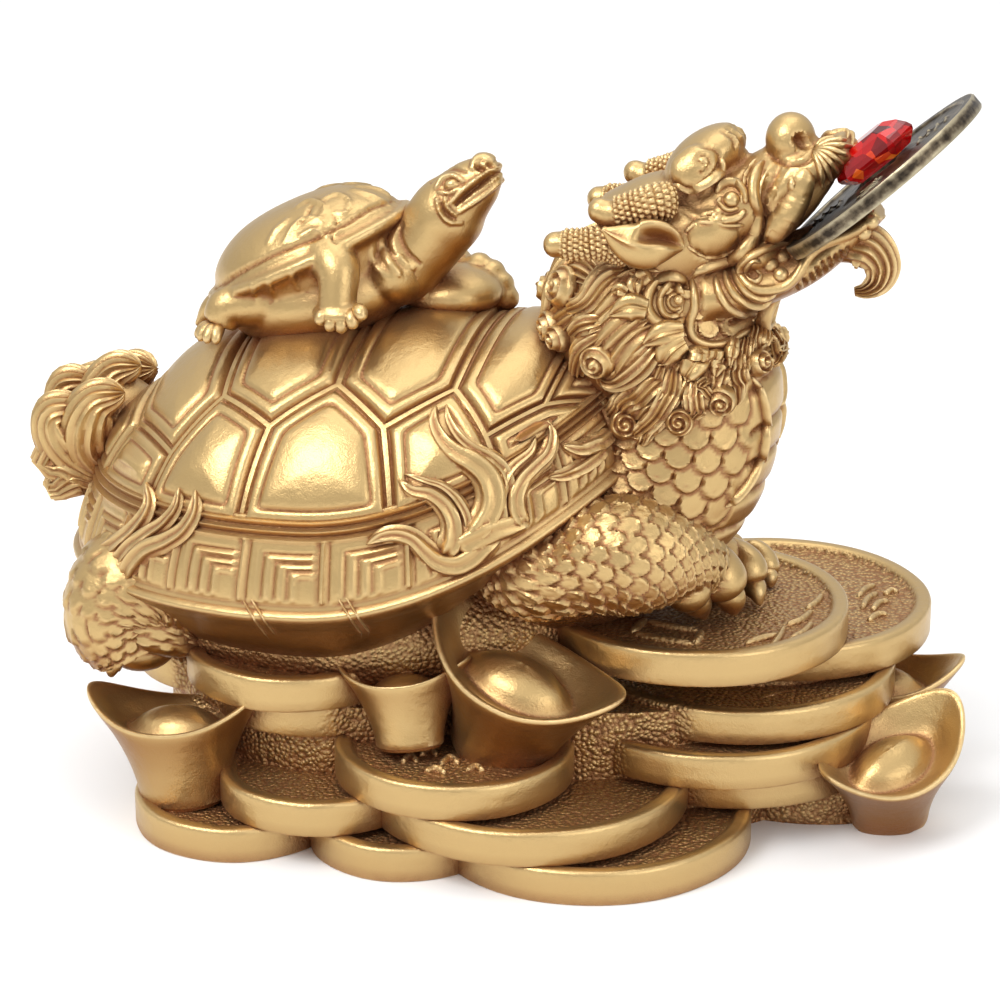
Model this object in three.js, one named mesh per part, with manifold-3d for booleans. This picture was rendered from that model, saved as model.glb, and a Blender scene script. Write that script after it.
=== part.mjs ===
// Dragon turtle ornament: one resin casting, a loose coin held in the mouth and a red crystal on it.
// Millimetres, +Z up. The dragon faces +X, and its right flank is on the -Y side.
// The origin is on the table, under the middle of the bed of coins.
import * as THREE from 'three';
import { mergeVertices } from 'three/addons/utils/BufferGeometryUtils.js';
import Module from 'manifold-3d';

const wasm = await Module();
wasm.setup();

// Driving dimensions of the casting
const figureLength = 119;
const castCoinThickness = 4.4;
const castCoinRim = 2.0;
const castCoinRecess = 0.8;
const smallCoinRadius = 13;
const middleCoinRadius = 14.8;
const largeCoinRadius = 20;
const ingotLength = 24;
const ingotWidth = 15.5;
const ingotHeight = 12.5;

// Driving dimensions of the loose coin and the crystal
const mouthCoinDiameter = 28;
const mouthCoinThickness = 1.8;
const mouthCoinRim = 1.5;
const mouthCoinRelief = 0.3;
const mouthCoinHole = 6.0;
const mouthCoinPitch = THREE.MathUtils.degToRad(42);
const crystalLength = 11.2;
const crystalWidth = 7.2;
const crystalHeight = 3.9;
const crystalPlace = 0.3;
const fitGap = 0.3;

// How finely the joined casting is faceted
const carvingTolerance = 0.03;
const facetTarget = 9200;

// The figure is drawn 119 mm long, standing 26.4 mm up on six layers of coins. Its pose and
// carving keep those proportions, whatever the figure's length.
const drawn = { length: 119, stackTop: 26.4 };
const stackLayers = 6;
const figureScale = figureLength / drawn.length;
const stackTop = stackLayers * castCoinThickness;

const { cos, sin, abs, min, max, hypot, atan2, sqrt, tan, PI } = Math;
const rad = THREE.MathUtils.degToRad;
const mix = THREE.MathUtils.lerp;
const turn = 2 * PI;

// A point of the figure, which stands on top of the stack
function fig(x, y, z) {
  return new THREE.Vector3(
    x * figureScale, y * figureScale, stackTop + (z - drawn.stackTop) * figureScale);
}

// A point of the bed, on top of the given number of coin layers
function bed(x, y, layers) {
  return new THREE.Vector3(x * figureScale, y * figureScale, layers * castCoinThickness);
}

// Mirrors drawn points to the far side
const mirrored = (points) => points.map(([x, y, z]) => [x, -y, z]);

// A solid from points and triangles, turned so that its faces point out
function solidFrom(points, triangles) {
  const positions = new Float32Array(points.flatMap((p) => [p.x, p.y, p.z]));
  const geometry = new THREE.BufferGeometry();
  geometry.setAttribute('position', new THREE.BufferAttribute(positions, 3));
  geometry.setIndex(triangles);
  return solidFromGeometry(geometry);
}

function solidFromGeometry(source) {
  const open = source.clone();
  open.deleteAttribute('normal');
  open.deleteAttribute('uv');
  const merged = mergeVertices(open, 1e-4);
  const place = merged.attributes.position.array;
  const corners = [];
  const index = merged.index.array;
  for (let i = 0; i < index.length; i += 3) {
    const [a, b, c] = [index[i], index[i + 1], index[i + 2]];
    if (a !== b && b !== c && c !== a) corners.push(a, b, c);
  }
  if (signedVolume(place, corners) < 0) {
    for (let i = 0; i < corners.length; i += 3) {
      [corners[i], corners[i + 1]] = [corners[i + 1], corners[i]];
    }
  }
  return new wasm.Manifold(new wasm.Mesh({
    numProp: 3,
    vertProperties: new Float32Array(place),
    triVerts: new Uint32Array(corners),
  }));
}

function signedVolume(place, corners) {
  const [a, b, c] = [new THREE.Vector3(), new THREE.Vector3(), new THREE.Vector3()];
  let volume = 0;
  for (let i = 0; i < corners.length; i += 3) {
    a.fromArray(place, 3 * corners[i]);
    b.fromArray(place, 3 * corners[i + 1]);
    c.fromArray(place, 3 * corners[i + 2]);
    volume += a.dot(b.cross(c)) / 6;
  }
  return volume;
}

// A solid through rings of equal size, closed by a fan over each end
function loft(rings) {
  const sides = rings[0].length;
  const points = rings.flat();
  const triangles = [];
  for (let r = 0; r + 1 < rings.length; r += 1) {
    for (let i = 0; i < sides; i += 1) {
      const j = (i + 1) % sides;
      const [a, b] = [r * sides + i, r * sides + j];
      const [c, d] = [a + sides, b + sides];
      triangles.push(a, b, d, a, d, c);
    }
  }
  const start = points.push(middle(rings[0])) - 1;
  const end = points.push(middle(rings.at(-1))) - 1;
  const top = (rings.length - 1) * sides;
  for (let i = 0; i < sides; i += 1) {
    const j = (i + 1) % sides;
    triangles.push(start, j, i);
    triangles.push(end, top + i, top + j);
  }
  return solidFrom(points, triangles);
}

function middle(ring) {
  const sum = new THREE.Vector3();
  for (const p of ring) sum.add(p);
  return sum.divideScalar(ring.length);
}

// Value of a short list of evenly spaced numbers at a share s from 0 to 1
function along(list, s) {
  const t = THREE.MathUtils.clamp(s, 0, 1) * (list.length - 1);
  const i = min(Math.floor(t), list.length - 2);
  return mix(list[i], list[i + 1], t - i);
}

// A limb, lock or ridge along a curve. width and height are half-sizes in drawn millimetres,
// across and along the outward direction `up`. bump(s, angle) adds relief.
function sweep({ path, width, height = width, up = [0, 0, 1], sides = 8, steps = 8, bump }) {
  const curve = new THREE.CatmullRomCurve3(path.map((p) => fig(...p)), false, 'centripetal');
  const upward = new THREE.Vector3(...up);
  const rings = [];
  for (let k = 0; k <= steps; k += 1) {
    const s = k / steps;
    const centre = curve.getPointAt(s);
    const ahead = curve.getTangentAt(s);
    const across = new THREE.Vector3().crossVectors(ahead, upward).normalize();
    const out = new THREE.Vector3().crossVectors(across, ahead).normalize();
    const ring = [];
    for (let i = 0; i < sides; i += 1) {
      const angle = turn * i / sides;
      const grow = figureScale * (1 + (bump ? bump(s, angle) : 0));
      ring.push(centre.clone()
        .addScaledVector(across, along(width, s) * cos(angle) * grow)
        .addScaledVector(out, along(height, s) * sin(angle) * grow));
    }
    rings.push(ring);
  }
  return loft(rings);
}

// A rounded lump with half-sizes in drawn millimetres, pitched about Y and turned about Z
function lump({ at, size, pitch = 0, yaw = 0, detail = [12, 8] }) {
  const geometry = new THREE.SphereGeometry(figureScale, ...detail);
  geometry.rotateX(PI / 2);
  geometry.scale(...size);
  geometry.rotateY(-pitch);
  geometry.rotateZ(yaw);
  const centre = fig(...at);
  geometry.translate(centre.x, centre.y, centre.z);
  return solidFromGeometry(geometry);
}

const join = (solids) => wasm.Manifold.union(solids);

// Cast coins: a disc with a raised rim round a sunk face
function castCoin([x, y, radius, layer]) {
  const inner = radius - castCoinRim;
  const profile = [
    [0, 0], [radius, 0], [radius, castCoinThickness], [inner, castCoinThickness],
    [inner - castCoinRecess / 2, castCoinThickness - castCoinRecess],
    [0, castCoinThickness - castCoinRecess],
  ].map(([r, h]) => new THREE.Vector2(r, h));
  const segments = radius > middleCoinRadius ? 24 : 18;
  const geometry = new THREE.LatheGeometry(profile, segments);
  geometry.rotateX(PI / 2);
  const place = bed(x, y, layer);
  geometry.translate(place.x, place.y, place.z);
  return solidFromGeometry(geometry);
}

// Places [x, y, radius, layers below] of the coins: the fanned stack, the near and the far side
const frontStack = [
  [29.9, 7.6, largeCoinRadius - 1, 1], [28.4, 4.1, largeCoinRadius, 2],
  [30.2, 8.3, largeCoinRadius, 3], [33.1, 18.6, largeCoinRadius, 4],
  [25.2, 3.7, largeCoinRadius - 0.5, 5],
];
const nearCoins = [
  [-27.5, -20, smallCoinRadius, 0], [-5.6, -20.6, smallCoinRadius - 1, 0],
  [16, -13, largeCoinRadius, 0], [-16.6, -19.2, smallCoinRadius, 1],
  [8.2, -13.7, largeCoinRadius, 1], [0.1, -17.8, middleCoinRadius, 2],
  [-20.5, -10, smallCoinRadius, 3], [-22, -12.1, smallCoinRadius + 1, 4],
];
const farCoins = [
  [-29, 14, middleCoinRadius, 0], [-6, 20, middleCoinRadius, 0], [14, 18, largeCoinRadius, 0],
  [-20, 17, middleCoinRadius, 1], [-33, 1, middleCoinRadius, 3],
  [26, 15, largeCoinRadius - 1, 2], [30, 17, largeCoinRadius - 1.5, 3],
];

// Boat-shaped ingots: shares of length, width and height, and how far the ends rise
const ingotRings = [
  [0.48, 0.62, 0.00, 0.00], [0.58, 0.72, 0.45, 0.02], [0.99, 1.00, 0.90, 0.40],
  [0.91, 0.88, 0.88, 0.33], [0.50, 0.54, 0.64, 0.00], [0.24, 0.28, 0.90, 0.00],
];

function ingot({ at, yaw, pitch = 0, roll = 0, scale = 1 }) {
  const sides = 14;
  const place = bed(...at);
  const spin = new THREE.Euler(roll, -pitch, yaw, 'ZYX');
  const rings = ingotRings.map(([u, w, h, rise]) => Array.from({ length: sides }, (_, i) => {
    const angle = turn * i / sides;
    const end = abs(cos(angle)) ** 2.4;
    return new THREE.Vector3(
      u * cos(angle) * ingotLength / 2 * scale,
      w * sin(angle) * (1 - 0.16 * end) * ingotWidth / 2 * scale,
      (h + rise * end) * ingotHeight * scale,
    ).applyEuler(spin).add(place);
  }));
  return loft(rings);
}

// Place [x, y, layers below] and the turn of each ingot
const ingots = [
  { at: [-33.5, -23.2, 0.9], yaw: rad(8), pitch: rad(2), roll: rad(0), scale: 0.97 },
  { at: [6.4, -17.3, 3.4], yaw: rad(-1), pitch: rad(-19), roll: rad(11), scale: 1.24 },
  { at: [-7.2, -19.5, 2.8], yaw: rad(4), pitch: rad(1), roll: rad(-17), scale: 0.76 },
  { at: [51.2, 1.0, 0.0], yaw: rad(61), pitch: rad(10), roll: rad(12), scale: 0.93 },
  { at: [46.5, 15, 0.8], yaw: rad(4), pitch: rad(2), roll: rad(0), scale: 0.95 },
  { at: [10, 26, 1.9], yaw: rad(175), pitch: rad(6), roll: rad(10) },
  { at: [-36, 20, 0.9], yaw: rad(170), pitch: rad(5), roll: rad(10) },
];

// Bed of coins, with the ground between them filled
function coinBed() {
  const ground = [
    { at: [8, 6, 0], size: [36, 28], layers: 3.8 },
    { at: [-18, 0, 0], size: [26, 24], layers: 3.8 },
    { at: [38, 4, 0], size: [14, 8], layers: 1.1 },
  ];
  const fill = ground.map(({ at, size, layers }) => {
    const geometry = new THREE.CylinderGeometry(1, 1, layers * castCoinThickness, 12);
    geometry.rotateX(PI / 2);
    geometry.scale(size[0] * figureScale, size[1] * figureScale, 1);
    const place = bed(...at);
    geometry.translate(place.x, place.y, layers * castCoinThickness / 2);
    return solidFromGeometry(geometry);
  });
  const coins = [...frontStack, ...nearCoins, ...farCoins].map(castCoin);
  return [...fill, ...coins, ...ingots.map(ingot)];
}

// Carapace: a dome over an oval rim that is lifted over the neck
const shell = {
  x: -16.6, z: 32.5, pitch: rad(3), frontLift: 14.4, costalEdge: rad(70),
  halfLength: 36, halfWidth: 29, height: 28.4, scuteRelief: 1.0,
};

function onShell(polar, around, proud = 0) {
  const [c, s] = [cos(around), sin(around)];
  const [sp, cp] = [sin(polar), cos(polar)];
  const [x, y, z] = [shell.halfLength * sp * c, shell.halfWidth * sp * s, shell.height * cp];
  const lift = shell.frontLift * max(c, 0) ** 2 * sp * sp + tan(shell.pitch) * x;
  const normal = new THREE.Vector3(
    x / shell.halfLength ** 2, y / shell.halfWidth ** 2, z / shell.height ** 2).normalize();
  return fig(
    shell.x + x + normal.x * proud, y + normal.y * proud,
    shell.z + z + lift + normal.z * proud);
}

// The scutes are drawn in a unit disc, whose centre is the top and whose edge is the costal edge
function onDisc([x, y], proud) {
  return onShell(hypot(x, y) * shell.costalEdge, atan2(y, x), proud);
}

const upperCorners = [-0.68, -0.32, 0.04, 0.40, 0.74].map((x, i) => [x, i === 0 ? -0.36 : -0.46]);
const lowerCorners = [-0.50, -0.14, 0.22, 0.57].map((x) => [x, -0.63]);
const rearSeamAngle = rad(180 + 27);
const frontSeamAngle = rad(-20);
const edgePoint = (angle) => [cos(angle), sin(angle)];
const edgeBelow = ([x, y]) => edgePoint(atan2(y, x));

// Corners of each scute on the near side; a long side on the disc's edge is an arc
function scuteOutlines() {
  const flip = ([x, y]) => [x, -y];
  const vertebral = [];
  for (let i = 0; i < 4; i += 1) {
    const side = [upperCorners[i], lowerCorners[i], upperCorners[i + 1]];
    vertebral.push([...side, ...side.map(flip).reverse()]);
  }
  const rear = [upperCorners[0], flip(upperCorners[0]), flip(edgePoint(rearSeamAngle)),
    edgePoint(rearSeamAngle)];
  const front = [upperCorners[4], edgePoint(frontSeamAngle), flip(edgePoint(frontSeamAngle)),
    flip(upperCorners[4])];
  const costal = [[edgePoint(rearSeamAngle), upperCorners[0], lowerCorners[0],
    edgeBelow(lowerCorners[0])]];
  for (let i = 0; i < 3; i += 1) {
    costal.push([edgeBelow(lowerCorners[i]), lowerCorners[i], upperCorners[i + 1],
      lowerCorners[i + 1], edgeBelow(lowerCorners[i + 1])]);
  }
  costal.push([edgeBelow(lowerCorners[3]), lowerCorners[3], upperCorners[4],
    edgePoint(frontSeamAngle)]);
  const far = costal.map((outline) => outline.map(flip));
  return [...vertebral, rear, front, ...costal, ...far].map(counterClockwise);
}

function counterClockwise(outline) {
  const area = outline.reduce((sum, [x, y], i) => {
    const [nextX, nextY] = outline[(i + 1) % outline.length];
    return sum + x * nextY - nextX * y;
  }, 0);
  return area < 0 ? [...outline].reverse() : outline;
}

const onEdge = (p) => abs(hypot(...p) - 1) < 1e-6;

// Points along a side of a scute, on the arc where both ends lie on the disc's edge.
// Two scutes that share a side get the same points, so it is always drawn from the same end.
function sidePoints(a, b) {
  const swapped = a[0] > b[0] + 1e-9 || (abs(a[0] - b[0]) < 1e-9 && a[1] > b[1]);
  const [p, q] = swapped ? [b, a] : [a, b];
  const count = max(2, Math.round(hypot(p[0] - q[0], p[1] - q[1]) / 0.24));
  const from = atan2(p[1], p[0]);
  let sweepAngle = atan2(q[1], q[0]) - from;
  if (sweepAngle > PI) sweepAngle -= turn;
  if (sweepAngle < -PI) sweepAngle += turn;
  const isArc = onEdge(p) && onEdge(q);
  const points = Array.from({ length: count + 1 }, (_, i) => (isArc
    ? edgePoint(from + sweepAngle * i / count)
    : [mix(p[0], q[0], i / count), mix(p[1], q[1], i / count)]));
  if (swapped) points.reverse();
  return points.slice(0, -1);
}

// The dome of raised scutes, closed by a fan to a point inside
function dome() {
  const points = [];
  const triangles = [];
  const edge = [];
  const plate = [[0.00, -0.2], [0.17, 0.75], [0.55, 1.0]];
  for (const outline of scuteOutlines()) {
    const ring = outline.flatMap((a, i) => sidePoints(a, outline[(i + 1) % outline.length]));
    const centre = [0, 1].map((k) => ring.reduce((sum, p) => sum + p[k], 0) / ring.length);
    const first = points.length;
    for (const [inset, rise] of plate) {
      for (const p of ring) {
        const q = [mix(p[0], centre[0], inset), mix(p[1], centre[1], inset)];
        points.push(onDisc(q, rise * shell.scuteRelief));
      }
    }
    const hub = points.push(onDisc(centre, shell.scuteRelief * 1.1)) - 1;
    const n = ring.length;
    for (let i = 0; i < n; i += 1) {
      const j = (i + 1) % n;
      for (let r = 0; r < plate.length - 1; r += 1) {
        const [a, b] = [first + r * n + i, first + r * n + j];
        triangles.push(a, b, b + n, a, b + n, a + n);
      }
      const last = first + (plate.length - 1) * n;
      triangles.push(last + i, last + j, hub);
      if (onEdge(ring[i]) && onEdge(ring[j])) edge.push([first + i, first + j]);
    }
  }
  const inside = points.push(fig(shell.x, 0, shell.z)) - 1;
  for (const [a, b] of edge) triangles.push(b, a, inside);
  return solidFrom(points, triangles);
}

// Rim of fretted plates above, and the smooth bowl below it
const marginalCount = 22;
const rimRings = [
  { polar: rad(67), proud: -1.2 }, { polar: rad(70), proud: 0.7 },
  { polar: rad(74), proud: 0.1, plate: 0.7 }, { polar: rad(87), proud: 0.8, plate: 0.6 },
  { polar: rad(90), proud: 1.9 }, { share: 0.985, drop: 1.7 }, { share: 0.90, drop: 3.0 },
  { share: 0.67, drop: 10.3 },
];

function rim() {
  const perPlate = 2;
  const sides = marginalCount * perPlate;
  const rings = rimRings.map(({ polar, proud, plate = 0, share, drop }) => (
    Array.from({ length: sides }, (_, i) => {
      const slot = Math.floor(i / perPlate);
      const offset = [0, 0.12][i % perPlate];
      const around = turn * (slot + offset) / marginalCount;
      if (share === undefined) {
        return onShell(polar, around, proud + (i % perPlate ? plate : 0));
      }
      const edge = onShell(rad(90), around, 0);
      const centre = fig(shell.x, 0, shell.z);
      const p = centre.clone().lerp(edge, share);
      p.z = edge.z - drop * figureScale;
      return p;
    })
  ));
  return loft(rings);
}

// Flame tongues on the shoulder and at the rear, laid along the shell
const flames = [
  [[3.6, -24.3, 37.0], [4.6, -22.5, 41.0], [1.5, -21.0, 46.0], [-2.6, -18.5, 50.0],
    [-2.4, -14.0, 55.6]],
  [[8.4, -21.5, 38.5], [7.4, -19.2, 44.0], [9.6, -15.5, 48.0], [11.5, -12.0, 50.5],
    [9.2, -8.2, 54.0]],
  [[1.0, -25.5, 37.0], [-1.0, -24.5, 41.5], [-4.5, -23.5, 44.5], [-5.4, -22.7, 48.5]],
  [[1.6, -26.8, 34.5], [-2.8, -27.0, 37.5], [-6.0, -27.0, 40.0], [-6.9, -26.4, 43.5]],
  [[5.0, -24.6, 36.0], [11.0, -20.5, 42.5], [15.5, -13.5, 47.0], [18.5, -8.0, 49.5]],
  [[8.5, -23.5, 35.5], [4.5, -26.6, 33.4], [-0.5, -28.2, 32.2], [-6.0, -29.3, 33.0]],
  [[-44.0, -18.5, 33.5], [-46.0, -16.5, 38.0], [-42.5, -16.5, 42.5], [-44.5, -13.0, 45.0]],
  [[-47.0, -16.0, 32.5], [-50.3, -11.5, 36.0], [-49.2, -9.5, 41.0]],
];

function flameTongues() {
  const shape = (path) => {
    const [x, y] = path[Math.floor(path.length / 2)];
    return sweep({
      path, width: [2.2, 2.1, 1.5, 0.9, 0.35], height: [1.5, 1.5, 1.3, 1.0, 0.5],
      up: [(x - shell.x) / 2, y, 14], sides: 4, steps: 4,
    });
  };
  return [...flames, ...flames.map(mirrored)].map(shape);
}

// Limbs: plump, scaly, with four clawed toes
const scaleBumps = (rows, count, depth) => (s, angle) => (
  depth * (cos(turn * rows * s) * cos(count * angle)));

function foot(at, direction, reach, toeCount = 4) {
  const [x, y, z] = at;
  const spread = rad(34);
  const parts = [lump({ at, size: [4.6, 4.4, 3.2], detail: [8, 4] })];
  for (let i = 0; i < toeCount; i += 1) {
    const angle = direction + spread * (i - (toeCount - 1) / 2);
    const [c, s] = [cos(angle), sin(angle)];
    parts.push(sweep({
      path: [[x + 1.5 * c, y + 1.5 * s, z + 0.6],
        [x + reach * 0.62 * c, y + reach * 0.62 * s, z + 1.2],
        [x + reach * c, y + reach * s, z - 1.4]],
      width: [1.8, 1.9, 1.5, 0.5], height: [1.8, 2.1, 1.6, 0.5], sides: 4, steps: 2,
    }));
  }
  return parts;
}

// The near front leg crosses in front of the neck, and the far one stands beside it
const nearFrontLeg = [[6, -12, 36.4], [12.5, -17.6, 38.3], [19, -17.0, 39.0], [24.4, -12.4, 37.2],
  [27.4, -6.4, 34.0], [28.0, -1.8, 30.6]];
const farFrontLeg = [[6, 12, 36.4], [12.0, 18.0, 38.0], [17.0, 18.6, 38.0], [20.6, 16.6, 36.0],
  [22.6, 14.0, 32.6], [23.4, 12.4, 29.8]];
const hindLeg = [[-34, -13, 30], [-41.0, -17.0, 29.0], [-43.2, -18.5, 25.0], [-40.4, -19.5, 20.0]];

function frontLimb(path, side, at, direction) {
  return [
    sweep({
      path, width: [7.5, 7.2, 6.8, 6.0, 5.0, 4.4], up: [0.2, side, 0.6], sides: 10, steps: 9,
      bump: scaleBumps(4.5, 5, 0.05),
    }),
    ...foot(at, direction, 6.4),
  ];
}

function hindLimb(side) {
  return [
    sweep({
      path: side < 0 ? hindLeg : mirrored(hindLeg), width: [8.5, 8.2, 7.0, 5.0],
      up: [-0.6, side, 0.2], sides: 10, steps: 6, bump: scaleBumps(3, 5, 0.05),
    }),
    lump({ at: [-37, side * 16.5, 24.5], size: [9.0, 7.5, 7.5], detail: [10, 6] }),
    ...foot([-40.6, side * 19.8, 19.6], rad(180) - side * rad(55), 5.6),
  ];
}

function legs() {
  return [
    ...frontLimb(nearFrontLeg, -1, [27.6, 1.6, 28.6], rad(-24)),
    ...frontLimb(farFrontLeg, 1, [24.0, 11.6, 28.6], rad(24)),
    ...hindLimb(-1), ...hindLimb(1),
  ];
}

// Bushy tail: grooved locks that sweep back and up against the shell
const tailRoot = [-50.5, 0, 37];
const tailLobes = [
  { lift: -2, reach: 6.4, radius: 2.6 }, { lift: 34, reach: 8.4, radius: 3.4 },
  { lift: 62, reach: 13.0, radius: 3.8 }, { lift: 92, reach: 14.6, radius: 3.8 },
];

// Lobes fan out from the root in the plane of symmetry, and again smaller on either side
function tail() {
  const [x, , z] = tailRoot;
  const locks = [-1, 0, 1].flatMap((row) => tailLobes.map(({ lift, reach, radius }) => {
    const turned = rad(180 - lift);
    const far = reach * (row ? 0.86 : 1);
    const [c, s] = [cos(turned), sin(turned)];
    return sweep({
      path: [
        [x + 2, row * 3, z], [x + far * 0.5 * c - 1.5 * s, row * 5.2, z + far * 0.5 * s - 1.5 * c],
        [x + far * c, row * 6.2, z + far * s],
        [x + far * 0.92 * c + 3.2 * s, row * 5.4, z + far * s + 1.0],
      ],
      width: [2.2, radius, radius, 1.4], up: [0, 1, 0.01], sides: 6, steps: 5,
    });
  }));
  return [...locks, lump({ at: [-49, 0, 41], size: [6, 7, 9], detail: [8, 4] })];
}

// Neck: scaled sides and belly plates between two ridges in front
const neckPath = [
  [8, 0, 36], [16.5, 0, 38.5], [22.8, 0, 45.5], [24.4, 0, 54], [22.5, 0, 62], [23.5, 0, 70],
];

function neck() {
  const plates = (s, angle) => {
    const front = max(0, -sin(angle)) ** 6;
    return 0.045 * (1 - front) * cos(turn * 6 * s) * cos(8 * angle);
  };
  const body = sweep({
    path: neckPath, width: [13, 12.6, 12.0, 11.4, 10.2, 9.0], height: [11, 11.4, 11.4, 11.4, 11.2, 8.0],
    up: [-1, 0, 0.2], sides: 16, steps: 12, bump: plates,
  });
  const ridge = [[28.0, -6.5, 39.0], [32.0, -7.3, 44.5], [34.4, -7.4, 50.5], [34.6, -7.2, 57.0],
    [34.0, -6.6, 62.5]];
  const ridges = [ridge, mirrored(ridge)].map((line) => sweep({
    path: line, width: [1.0, 1.0, 0.8], up: [1, 0, 0], sides: 4, steps: 4,
  }));
  return [body, ...ridges];
}

// Head: skull and upper jaw, lower jaw, and the carved parts on both sides
function headCore() {
  const skull = sweep({
    path: [[18, 0, 71], [24.5, 0, 74.8], [30.5, 0, 78.4], [36.2, 0, 81.8], [40.6, 0, 84.2],
      [43.4, 0, 86.0]],
    width: [9.0, 9.8, 9.0, 6.8, 5.6, 3.8], height: [8.5, 8.6, 6.4, 4.6, 3.4, 2.0],
    up: [-0.5, 0, 1], sides: 12, steps: 8,
  });
  const throat = sweep({
    path: [[23, 0, 62], [26.5, 0, 67.5], [32.5, 0, 69.0], [38.6, 0, 71.4], [43.2, 0, 75.0],
      [47.0, 0, 78.6]],
    width: [9.5, 9.6, 8.6, 6.6, 4.8, 2.8], height: [6.0, 5.6, 3.6, 2.6, 2.0, 1.3],
    up: [-0.6, 0, 1], sides: 10, steps: 8,
  });
  const tongue = sweep({
    path: [[33, 0, 71.5], [38, 0, 74.0], [41.5, 0, 76.6]], width: [3.5, 3.4, 2.2],
    height: [2.0, 1.6, 0.8], up: [-0.6, 0, 1], sides: 6, steps: 3,
  });
  const nose = lump({ at: [36.8, 0, 86.6], size: [3.6, 4.6, 3.4], pitch: rad(30), detail: [10, 6] });
  const bridge = sweep({
    path: [[26, 0, 80], [31, 0, 83], [35.5, 0, 85]], width: [3.5, 2.6, 3.0], height: [3, 2.0, 2.4],
    up: [-0.5, 0, 1], sides: 6, steps: 3,
  });
  const beard = sweep({
    path: [[41.5, 0, 73.6], [45.8, 0, 76.2], [47.4, 0, 73.6], [46.9, 0, 70.6], [45.0, 0, 69.4],
      [44.2, 0, 70.6]],
    width: [3.6, 3.2, 3.0, 2.4, 1.6, 0.8], height: [2.2, 2.4, 2.1, 1.7, 1.1, 0.6],
    up: [0, 1, 0.01], sides: 6, steps: 7,
  });
  return [skull, throat, tongue, nose, bridge, beard];
}

// Strokes of carving beside the head: [path, half widths, half heights]
const headStrokes = [
  { path: [[33.2, -4.6, 85.4], [32.4, -6.4, 82.4], [33.8, -7.4, 78.4], [31.6, -8.9, 74.2],
    [27.6, -9.9, 72.4], [26.6, -9.9, 69.6]], width: [1.1, 1.3, 1.2, 1.2, 1.1, 0.9] },
  { path: [[26.4, -9.6, 70], [26.8, -9.9, 66.4], [28.6, -9.7, 64.4], [31.4, -8.6, 65.0],
    [34.8, -7.0, 66.4], [37.6, -5.6, 69.0]], width: [0.9, 1.1, 1.1, 1.1, 1.0, 0.8] },
  { path: [[37.6, -6.3, 74.8], [35.6, -7.7, 72.4], [36.6, -7.4, 70.0], [40.0, -5.8, 72.8],
    [44.0, -4.2, 76.8], [47.0, -2.2, 79.8]], width: [0.9, 1.1, 1.1, 1.0, 0.9, 0.7] },
  { path: [[24.2, -8.8, 81.6], [28.0, -8.6, 82.4], [31.4, -7.4, 81.4], [32.0, -6.8, 79.6]],
    width: [1.2, 1.5, 1.2, 0.8] },
  { path: [[26.4, -8.6, 78.0], [28.6, -8.9, 77.6], [31.0, -8.2, 78.0]], width: [0.7, 1.0, 0.7] },
  { path: [[38.5, -4.4, 84.8], [41.8, -5.6, 82.0], [40.2, -6.2, 79.6], [38.2, -6.4, 77.4]],
    width: [1.0, 1.2, 1.1, 0.8] },
];

function headCarving(side) {
  const onSide = side < 0 ? (p) => p : mirrored;
  const parts = headStrokes.map(({ path, width }) => sweep({
    path: onSide(path), width, height: width, up: [0, side, 0.1], sides: 4, steps: 6,
  }));
  const brow = sweep({
    path: onSide([[20.5, -6.5, 79.2], [24.2, -6.2, 82.0], [27.8, -5.2, 83.6], [30.4, -4.6, 82.8]]),
    width: [1.8, 3.0, 3.2, 1.8], height: [1.6, 2.4, 2.5, 1.6], up: [-0.4, 0, 1], sides: 6, steps: 4,
  });
  const horns = [
    [[24.6, -7.6, 79.6], [20.0, -8.8, 78.4], [15.8, -9.4, 77.0]],
    [[18.5, -9.2, 76.6], [13.8, -10.2, 75.8], [9.6, -10.6, 74.4]],
  ].map((path) => sweep({
    path: onSide(path), width: [2.4, 2.6, 2.4, 1.8], up: [0, side * 0.5, 1], sides: 6, steps: 4,
    bump: (s, angle) => 0.07 * cos(turn * 2 * s) * cos(3 * angle),
  }));
  const ear = sweep({
    path: onSide([[25.6, -9.2, 76.0], [21.0, -11.2, 75.6], [15.8, -12.2, 77.4]]),
    width: [1.4, 2.9, 2.4, 0.4], height: [1.3, 1.5, 1.1, 0.4], up: [0, side, 0.2], sides: 6, steps: 4,
  });
  const eye = lump({ at: [29.6, side * 7.9, 79.8], size: [1.9, 1.5, 1.6], detail: [6, 4] });
  const nostril = lump({ at: [38.0, side * 3.0, 86.4], size: [2.4, 2.2, 2.4], detail: [8, 5] });
  return [...parts, brow, ...horns, ear, eye, nostril, ...frillLeaves(side)];
}

// A row of pointed leaves behind the jaw
function frillLeaves(side) {
  const leaves = [
    [[22.2, 68.8], [17.6, 70.8]], [[23.4, 66.8], [19.8, 64.2]], [[25.2, 65.4], [23.2, 61.4]],
    [[27.6, 64.2], [26.6, 59.6]], [[30.2, 63.8], [29.9, 59.6]], [[32.6, 64.6], [33.0, 61.2]],
  ];
  return leaves.map(([[x0, z0], [x1, z1]], i) => sweep({
    path: [[x0, side * (9.6 - 0.35 * i), z0],
      [mix(x0, x1, 0.5), side * (12.2 - 0.55 * i), mix(z0, z1, 0.5)],
      [x1, side * (12.0 - 0.6 * i), z1]],
    width: [1.2, 1.9, 1.2, 0.3], height: [0.9, 1.2, 0.9, 0.3], up: [0, side, 0.1], sides: 4, steps: 2,
  }));
}

// Mane: a core, and locks that flow down and back and end in curls
const maneCore = { at: [19.6, 0, 63.2], size: [12.6, 12.4, 12.6] };

function onMane(x, z, side, proud = 0) {
  const [cx, , cz] = maneCore.at;
  const [rx, ry, rz] = maneCore.size;
  const inside = max(0.08, 1 - ((x - cx) / rx) ** 2 - ((z - cz) / rz) ** 2);
  return [x, side * (ry * sqrt(inside) + proud), z];
}

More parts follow.
